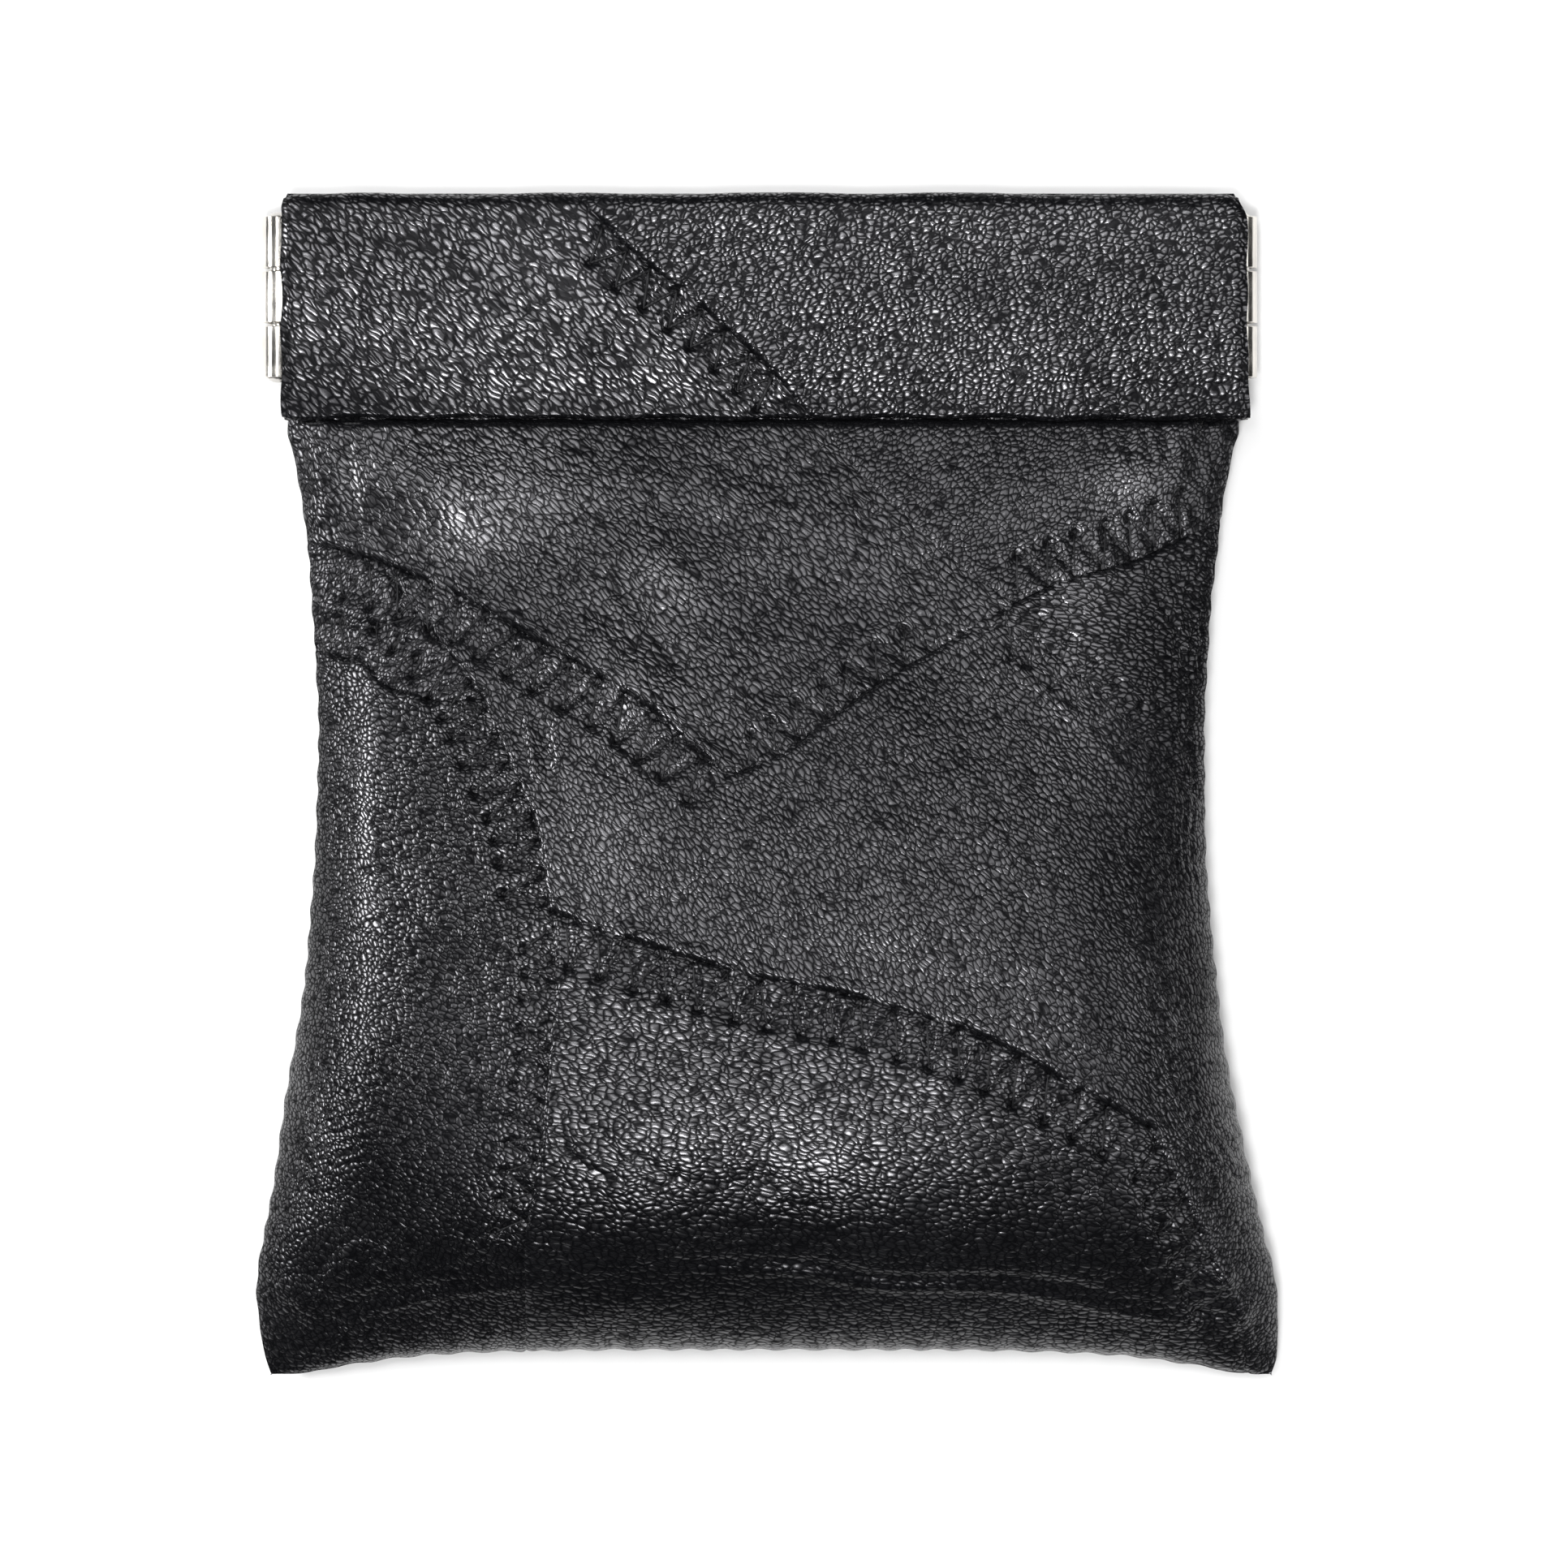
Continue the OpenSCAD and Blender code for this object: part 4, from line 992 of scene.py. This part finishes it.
L_CAS = smooth_line([(-20.5, 56), (-17.2, 52.7)] + DIAG_TOP[1:] + [(7.5, 28.5)], 0.4)


CAS_SEAM = (L_CAS, 8.6, 31.5, 0.9, 1, 0.3, 3.3, 2.9, 0.55)
CAS_FOLDS = [([(-25.7, 45.3), (-23.5, 43.4), (-19.2, 41.6), (-17, 41.3), (-15.6, 42)], -0.12, 0.45),
             ([(-36.6, 44.5), (-36.2, 42), (-35.5, 40.2)], -0.10, 0.4),
             ([(-29.3, 40.5), (-27.5, 38.7)], -0.09, 0.4),
             ([(-33, 49), (-30, 47.5), (-26, 47.2)], -0.06, 0.5),
             ([(2, 47.5), (8, 45.8), (15, 46.4)], -0.05, 0.5),
             ([(26, 44), (31, 41), (37, 40.5)], -0.05, 0.5)]


def casing_relief(x, y):
    r = seam_relief(x, y, *CAS_SEAM)
    r += 0.16 * noise(x, y, 9, 51) + 0.07 * noise(x, y, 4, 52) + 0.03 * noise(x, y, 1.8, 53)
    # hem: a shallow groove above the lower edge, puckered at each stitch
    r += -0.07 * np.exp(-((y - 34.1) / 0.7) ** 2) * (0.6 + 0.4 * np.cos(2 * math.pi * x / 4.75))
    # the strip's edge shows faintly through the leather
    r += 0.02 * np.exp(-((y - 36.8) / 0.8) ** 2) + 0.02 * np.exp(-((y - 50.0) / 0.7) ** 2)
    for pts, depth, w in CAS_FOLDS:
        line = smooth_line(pts, 0.8)
        d, s, past = field(x, y, line, 4)
        total = np.linalg.norm(np.diff(line, axis=0), axis=1).sum()
        r += depth * step(0, 0.35 * total, s) * (1 - step(0.65 * total, total, s)) * np.exp(-(d / w) ** 2)
    return r


def casing(name, part, s, mat, nodes, pair, start, end):
    fine = 95
    oy, oz, iy, iz, n_out = casing_path(1.0 if s > 0 else 0.0, fine)
    n = len(oy)
    k = np.arange(n)
    inner_side = step(n_out + 8, n_out + 22, k)
    free = 1 - inner_side
    xl = -43.3 + free * (0.10 * np.sin(2 * math.pi * oy / 6.1 + 0.8) + 0.25 * step(51.2, 52.7, oy)) + 1.75 * inner_side
    xr = 42.8 + free * (0.22 * (1 - step(33, 40, oy)) - 0.75 * step(50.3, 52.7, oy) + 0.06 * np.sin(2 * math.pi * oy / 5.3)) - 2.7 * inner_side
    if s > 0:
        run_y, run_x = L_CAS[::-1, 1], L_CAS[::-1, 0]
        xd = np.where(k < n_out + 13, np.interp(oy, run_y, run_x), -17.2)
        xd = np.where(k < n_out + 13, np.minimum(xd, 4.4), xd)
    else:
        xd = np.full(n, FSHIFT)
    a, b = (xl, xd) if part == "left" else (xd, xr)
    cols = int((150) * (1.0 if part == "left" else 1.25)) if s > 0 else 110
    t = np.linspace(0, 1, cols + 1)[None, :]
    X = a[:, None] + (b - a)[:, None] * t
    OY, OZ = np.repeat(oy[:, None], cols + 1, 1), np.repeat(oz[:, None], cols + 1, 1)
    IY, IZ = np.repeat(iy[:, None], cols + 1, 1), np.repeat(iz[:, None], cols + 1, 1)
    hem = (1 - step(33.0, 34.5, OY)) * (k < n_out)[:, None]
    wave = 0.10 * np.sin(2 * math.pi * X / 9.5 + 0.6) + 0.07 * noise(X, X * 0, 5, 61)
    OY, IY = OY + hem * wave, IY + hem * wave
    # the ends of the casing are a little rounded and droop at the free corner
    outer_p = np.stack([X, OY, OZ], 2)
    nn = grid_normals(outer_p)
    if nn[10, 10, 2] < 0:
        nn = -nn
    rel = casing_relief(X, OY) * ((k < n_out + 12)[:, None]) if s > 0 else np.minimum(0.08 * noise(X, OY, 8, 71) - 0.06, 0) * np.ones_like(X)
    rel = rel * (1 - 0.7 * inner_side[:, None])
    endr = -0.28 * (np.exp(-((X - xl[:, None]) / 0.5) ** 2) + np.exp(-((X - xr[:, None]) / 0.5) ** 2)) * (k < n_out + 12)[:, None]
    if s < 0:
        endr = endr * 0.6
    mark = seam_relief(X, OY, *CAS_SEAM) * (k < n_out + 12)[:, None] if s > 0 else np.zeros_like(X)
    outer_p = outer_p + nn * (rel + endr)[:, :, None]
    inner_p = np.stack([X, IY, IZ], 2)
    if s < 0:
        outer_p[:, :, 2] = np.maximum(5 - outer_p[:, :, 2], 0.004)
        inner_p[:, :, 2] = 5 - inner_p[:, :, 2]
        outer_p, inner_p = outer_p[:, ::-1], inner_p[:, ::-1]
    rubbed_part = polish(X, OY, CASING_POLISH) * (k < n_out + 12)[:, None] if s > 0 else np.zeros_like(X)
    o = shell(name, outer_p, inner_p, None, mark, rubbed_part)
    finish_piece(o, mat, "leather", *nodes)
    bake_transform(o)
    return o


KL, KR, SOFT = FSHIFT - BEND, FSHIFT + BEND, 6.0
BL = ((KL + SOFT) * MM, 0, 0), ((KL - SOFT) * MM, 0, 0)
BR = ((KR - SOFT) * MM, 0, 0), ((KR + SOFT) * MM, 0, 0)
casing("casing_front_left", "left", 1, LEATHERS["casing"], ["front_casing_left_end", "front_casing_left"], ("front_middle", "front_left"), *BL)
casing("casing_front_right", "right", 1, LEATHERS["casing_b"], ["front_casing_right", "front_casing_right_end"], ("front_middle", "front_right"), *BR)
casing("casing_back_left", "left", -1, LEATHERS["casing"], ["back_casing_left_end", "back_casing_middle"], ("back_middle", "back_left"), *BL)
casing("casing_back_right", "right", -1, LEATHERS["d"], ["back_casing_right_end", "back_casing_middle"], ("back_middle", "back_right"), *BR)

# zigzag thread of the front casing's diagonal seam; it lies left of the seam, on the bending part too
oy_, oz_, _, _, no_ = casing_path(1.0, 95)
x, y, off = zigzag_plan(CAS_SEAM[:2] + (30.6,) + CAS_SEAM[3:])
z = np.interp(y, oy_[:no_], oz_[:no_]) + casing_relief(x, y) + np.where(off < 0.08, 0.0, 0.06)
p = np.stack([x, y, z], 1)
v_, q_ = tube([(p, np.tile([0.0, 0, 1], (len(p), 1)))], 0.15)
o, _ = mesh_object("zigzag_casing", v_, q_, sharp=0)
finish_piece(o, THREAD, "thread", "casing_zigzag_thread")
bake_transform(o)


# ---------------------------------------------------------------- stitches at the casing's lower edge and along the inside seams
def dashes(points, normals, along, length, radius, sink):
    """Short lengths of thread, each dipping into the leather at both ends."""
    out = []
    for p, n, t in zip(points, normals, along):
        f = np.linspace(-0.5, 0.5, 7)[:, None]
        lift = -sink * (2 * np.abs(f)) ** 4
        out.append((p + f * length * t + lift * n, np.tile(n, (7, 1))))
    return out


xs = np.arange(-40.0, 39.8, 3.2)
for name, s, follow in (("front_casing_thread", 1, as_front), ("back_casing_thread", -1, as_back)):
    z = np.full(len(xs), 4.14 if s > 0 else 0.86)
    pts = np.stack([xs, np.full(len(xs), 32.15), z], 1)
    n = np.tile([0.0, 0, s], (len(xs), 1))
    v_, q_ = tube(dashes(pts, n, np.tile([1.0, 0, 0], (len(xs), 1)), 2.3, 0.12, 0.3), 0.12)
    o, _ = mesh_object("stitches_" + name.replace("_thread", ""), v_, q_, sharp=0)
    finish_piece(o, THREAD, "thread", name)
    follow(o)


def allowance(name, side, node, thread_node):
    """The two leather edges turned in along a side seam, sewn together."""
    v = np.linspace(0.09, 0.985, 90)
    u = np.full(90, float(side))
    x, y = to_plan(u, v)
    zc = seam_z(u, v)
    wav = 0.12 * np.sin(y / 2.1) + 0.08 * noise(y, y * 0, 5, 81)
    w = np.linspace(0, 1, 9)
    # outline of the folded edge: a flat loop, open towards the inside of the pouch
    prof = np.array([(-0.1, 0.05), (-0.4, 0.28), (-0.8, 0.36), (-1.4, 0.42), (-2.2, 0.50), (-3.4, 0.50), (-4.3, 0.46), (-4.5, 0.3), (-4.4, 0.06),
                     (-4.4, -0.06), (-4.5, -0.3), (-4.3, -0.46), (-3.4, -0.50), (-2.2, -0.50), (-1.4, -0.42), (-0.8, -0.36), (-0.4, -0.28), (-0.1, -0.05)])
    m = len(prof)
    P = np.zeros((90, m, 3))
    P[:, :, 0] = x[:, None] + side * prof[None, :, 0]
    P[:, :, 1] = y[:, None]
    P[:, :, 2] = zc[:, None] + prof[None, :, 1] + wav[:, None] * 0.5 * step(0.4, 1.6, -prof[None, :, 0])
    idx = np.arange(90 * m).reshape(90, m)
    nxt = np.roll(idx, -1, axis=1)
    q = np.stack([idx[:-1], nxt[:-1], nxt[1:], idx[1:]], 2).reshape(-1, 4)
    caps = []
    for row, flip in ((idx[0], True), (idx[-1], False)):
        for w_ in range(m // 2 - 1):
            f = [row[w_], row[w_ + 1], row[m - 2 - w_], row[m - 1 - w_]]
            caps.append(f[::-1] if flip else f)
    q = np.vstack([q, np.array(caps)])
    if side < 0:
        q = q[:, ::-1]
    q = q[:, ::-1]
    o, _ = mesh_object(name, P.reshape(-1, 3), q)
    put(o, "relief", np.zeros(len(o.data.vertices)))
    finish_piece(o, LEATHERS["a"], "leather", node)
    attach(o, "side_seams")
    k = np.arange(3, 88, 3)
    pts = np.stack([x[k] - side * 3.2, y[k], zc[k] + 0.58 + wav[k] * 0.5], 1)
    low = pts.copy()
    low[:, 2] = zc[k] - 0.58 + wav[k] * 0.5
    t = np.gradient(pts, axis=0)
    t /= np.linalg.norm(t, axis=1, keepdims=True)
    up = np.tile([0.0, 0, 1], (len(k), 1))
    v_, q_ = tube(dashes(pts, up, t, 1.9, 0.12, 0.35) + dashes(low, -up, t, 1.9, 0.12, 0.35), 0.12)
    o, _ = mesh_object(name + "_stitches", v_, q_, sharp=0)
    finish_piece(o, THREAD, "thread", thread_node)
    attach(o, "side_seams")


allowance("seam_left", -1, "left_side_seam", "left_seam_thread")
allowance("seam_right", 1, "right_side_seam", "right_seam_thread")

# bottom seam allowance
xs = np.linspace(-33, 32, 110)
prof = np.array([(1.0, 0.10), (1.4, 0.42), (2.4, 0.5), (4.2, 0.46), (4.4, 0.28), (4.3, 0.05), (4.3, -0.05), (4.4, -0.28), (4.2, -0.46), (2.4, -0.5), (1.4, -0.42), (1.0, -0.10)])
m = len(prof)
P = np.zeros((110, m, 3))
P[:, :, 0] = xs[:, None]
P[:, :, 1] = -50.45 + prof[None, :, 0]
P[:, :, 2] = 3.0 + prof[None, :, 1] + 0.1 * np.sin(xs / 2.3)[:, None]
idx = np.arange(110 * m).reshape(110, m)
nxt = np.roll(idx, -1, axis=1)
q = np.stack([idx[:-1], nxt[:-1], nxt[1:], idx[1:]], 2).reshape(-1, 4)
caps = []
for row, flip in ((idx[0], True), (idx[-1], False)):
    for w_ in range(m // 2 - 1):
        f = [row[w_], row[w_ + 1], row[m - 2 - w_], row[m - 1 - w_]]
        caps.append(f[::-1] if flip else f)
o, _ = mesh_object("seam_bottom", P.reshape(-1, 3), np.vstack([q, np.array(caps)]))
put(o, "relief", np.zeros(len(o.data.vertices)))
finish_piece(o, LEATHERS["a"], "leather", "bottom_seam")
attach(o, "side_seams")
k = np.arange(3, 108, 4)
pts = np.stack([xs[k], np.full(len(k), -47.4), 3.57 + 0.1 * np.sin(xs[k] / 2.3)], 1)
t = np.tile([1.0, 0, 0], (len(k), 1))
up = np.tile([0.0, 0, 1], (len(k), 1))
low = pts.copy()
low[:, 2] -= 1.14
v_, q_ = tube(dashes(pts, up, t, 1.8, 0.12, 0.35) + dashes(low, -up, t, 1.8, 0.12, 0.35), 0.12)
o, _ = mesh_object("seam_bottom_stitches", v_, q_, sharp=0)
finish_piece(o, THREAD, "thread", "bottom_seam_thread")
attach(o, "side_seams")


# ---------------------------------------------------------------- spring strips, knuckles and pins
def ribbon(path, half_t, ya, yb, ny=6):
    """A bent strip of sheet metal: path holds (x, z) points, from ya to yb."""
    p = np.array(path, float)
    t = np.gradient(p, axis=0)
    t /= np.linalg.norm(t, axis=1, keepdims=True)
    n = np.stack([-t[:, 1], t[:, 0]], 1)
    ys = np.linspace(ya, yb, ny)
    o1 = np.zeros((ny, len(p), 3))
    o2 = np.zeros((ny, len(p), 3))
    for g, sgn in ((o1, 1), (o2, -1)):
        g[:, :, 0] = (p[:, 0] + sgn * half_t * n[:, 0])[None, :]
        g[:, :, 2] = (p[:, 1] + sgn * half_t * n[:, 1])[None, :]
        g[:, :, 1] = ys[:, None]
    return o1, o2


def strip(name, side, s, outer_two, nodes):
    px = PIN_L if side < 0 else PIN_R
    z = MID + s * 1.25
    flat = px - side * 2.1
    x0 = FSHIFT + side * 0.02
    xs_ = np.linspace(x0, flat, 46)
    parts = [ribbon(np.stack([xs_, np.full(46, z)], 1), 0.25, Y0, Y1, 10)]
    k = (Y1 - Y0 - 0.6) / 3
    spans = [(Y0, Y0 + k), (Y1 - k, Y1)] if outer_two else [(Y0 + k + 0.3, Y1 - k - 0.3)]
    a = np.linspace(0, math.radians(318), 40)
    roll = np.stack([px + side * 1.25 * np.sin(a), MID + s * 1.25 * np.cos(a)], 1)
    lead = np.stack([np.linspace(flat - side * 0.1, px, 6)[:-1], np.full(5, z)], 1)
    for ya, yb in spans:
        parts.append(ribbon(np.vstack([lead, roll]), 0.25, ya, yb, 4))
    V, Q, at = [], [], 0
    for o1, o2 in parts:
        ny, nx = o1.shape[:2]
        idx = np.arange(ny * nx).reshape(ny, nx)
        j, i = np.nonzero(np.ones((ny - 1, nx - 1), bool))
        a_, b_, c_, d_ = idx[j, i], idx[j, i + 1], idx[j + 1, i + 1], idx[j + 1, i]
        off = ny * nx
        f = [np.stack([a_, b_, c_, d_], 1), np.stack([a_ + off, d_ + off, c_ + off, b_ + off], 1)]
        for m_, p_, q_ in ((j == 0, a_, b_), (i == nx - 2, b_, c_), (j == ny - 2, c_, d_), (i == 0, d_, a_)):
            f.append(np.stack([q_[m_], p_[m_], p_[m_] + off, q_[m_] + off], 1))
        F = np.vstack(f)
        if s * side > 0:
            F = F[:, ::-1]
        V.append(np.vstack([o1.reshape(-1, 3), o2.reshape(-1, 3)]))
        Q.append(F + at)
        at += 2 * off
    o, _ = mesh_object(name, np.vstack(V), np.vstack(Q), sharp=40)
    bpy.context.view_layer.objects.active = o
    bev = o.modifiers.new("edges", "BEVEL")
    bev.width = 0.00008
    bev.segments = 2
    bev.limit_method = "ANGLE"
    bev.angle_limit = math.radians(40)
    finish_piece(o, NICKEL, "spring_steel", *nodes)
    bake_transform(o)


strip("strip_front_left", -1, 1, False, ["front_strip_left", "front_strip_middle"])
strip("strip_front_right", 1, 1, False, ["front_strip_right", "front_strip_middle"])
strip("strip_back_left", -1, -1, True, ["back_strip_left", "back_strip_middle"])
strip("strip_back_right", 1, -1, True, ["back_strip_right", "back_strip_middle"])


def pin(name, px, body, node):
    """A riveted pin: a shaft with a low domed head at each end."""
    prof = [(0.02, Y0 - 0.42), (0.45, Y0 - 0.38), (0.78, Y0 - 0.2), (0.92, Y0 - 0.04), (0.8, Y0 + 0.06), (0.8, Y1 - 0.06),
            (0.92, Y1 + 0.04), (0.78, Y1 + 0.2), (0.45, Y1 + 0.38), (0.02, Y1 + 0.42)]
    n = 28
    a = 2 * math.pi * np.arange(n) / n
    V = np.array([[(px + r * math.cos(t), y, MID + r * math.sin(t)) for t in a] for r, y in prof])
    idx = np.arange(len(prof) * n).reshape(len(prof), n)
    nxt = np.roll(idx, -1, axis=1)
    q = np.stack([idx[:-1], idx[1:], nxt[1:], nxt[:-1]], 2).reshape(-1, 4)
    caps = []
    for row, flip in ((idx[0], False), (idx[-1], True)):
        for w_ in range(n // 2 - 1):
            f = [row[w_], row[w_ + 1], row[n - 2 - w_], row[n - 1 - w_]]
            caps.append(f[::-1] if flip else f)
    o, _ = mesh_object(name, V.reshape(-1, 3), np.vstack([q, np.array(caps)]), sharp=60)
    finish_piece(o, PIN_METAL, "pin_steel", node)
    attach(o, body)


pin("hinge_pin_left", PIN_L, "back_left", "left_hinge_pin")
pin("hinge_pin_right", PIN_R, "back_right", "right_hinge_pin")

# ---------------------------------------------------------------- floor, light and camera
m, tree, sh = new_material("floor_white")
g = Nodes(tree)
tc = g.add("ShaderNodeTexCoord")
n, _ = g.noise(tc.outputs["Object"], 6, 3)
g.link(g.ramp(n, [(0.3, (0.90, 0.90, 0.90)), (0.7, (0.93, 0.93, 0.93))]), sh.inputs["Base Color"])
sh.inputs["Roughness"].default_value = 0.85
me = bpy.data.meshes.new("floor")
S = 0.8
me.from_pydata([(-S, -S, -0.0002), (S, -S, -0.0002), (S, S, -0.0002), (-S, S, -0.0002)], [], [(0, 1, 2, 3)])
floor = bpy.data.objects.new("floor", me)
bpy.context.scene.collection.objects.link(floor)
me.materials.append(m)
floor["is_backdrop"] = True

world = bpy.data.worlds.new("world")
world.use_nodes = True
wt = world.node_tree
wt.nodes["Background"].inputs[0].default_value = (1, 1, 1, 1)
# the room gives little light, and the backdrop itself is as pale as the floor
seen = wt.nodes.new("ShaderNodeLightPath").outputs["Is Camera Ray"]
mix = wt.nodes.new("ShaderNodeMapRange")
wt.links.new(seen, mix.inputs["Value"])
mix.inputs["To Min"].default_value = 0.03
mix.inputs["To Max"].default_value = 1.0
wt.links.new(mix.outputs["Result"], wt.nodes["Background"].inputs[1])
bpy.context.scene.world = world


def area_light(name, place, target, size, size_y, power):
    d = bpy.data.lights.new(name, "AREA")
    d.shape = "RECTANGLE"
    d.size, d.size_y, d.energy = size, size_y, power
    o = bpy.data.objects.new(name, d)
    bpy.context.scene.collection.objects.link(o)
    o.location = place
    v = np.array(target, float) - np.array(place, float)
    from mathutils import Vector
    o.rotation_mode = "QUATERNION"
    o.rotation_quaternion = Vector(v).to_track_quat("-Z", "Y")
    return o


area_light("overhead", (0.20, 0.52, 1.25), (0, 0, 0), 2.50, 0.62, 12.0)
area_light("key", (-0.09, -0.31, 1.27), (0, 0, 0), 0.28, 0.28, 9.5)
area_light("window", (-0.18, 0.22, 1.27), (0, 0, 0), 0.25, 0.25, 2.2)
area_light("left", (-0.763, 0.15, 0.477), (0, 0, 0), 0.45, 0.14, 6.0)
area_light("right", (0.75, -0.28, 0.62), (0, 0, 0), 0.35, 0.30, 1.6)

cam = bpy.data.cameras.new("camera")
camera = bpy.data.objects.new("camera", cam)
bpy.context.scene.collection.objects.link(camera)
DIST = 0.75
cam.sensor_width = 36.0
cam.lens = 36.0 * (DIST - 0.004) / 0.1399
camera.location = (0.0015, 0.0, DIST)
camera.rotation_euler = (0, 0, 0)
cam.clip_start, cam.clip_end = 0.02, 20
bpy.context.scene.camera = camera

bpy.context.scene.view_settings.view_transform = "Standard"

lo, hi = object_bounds()
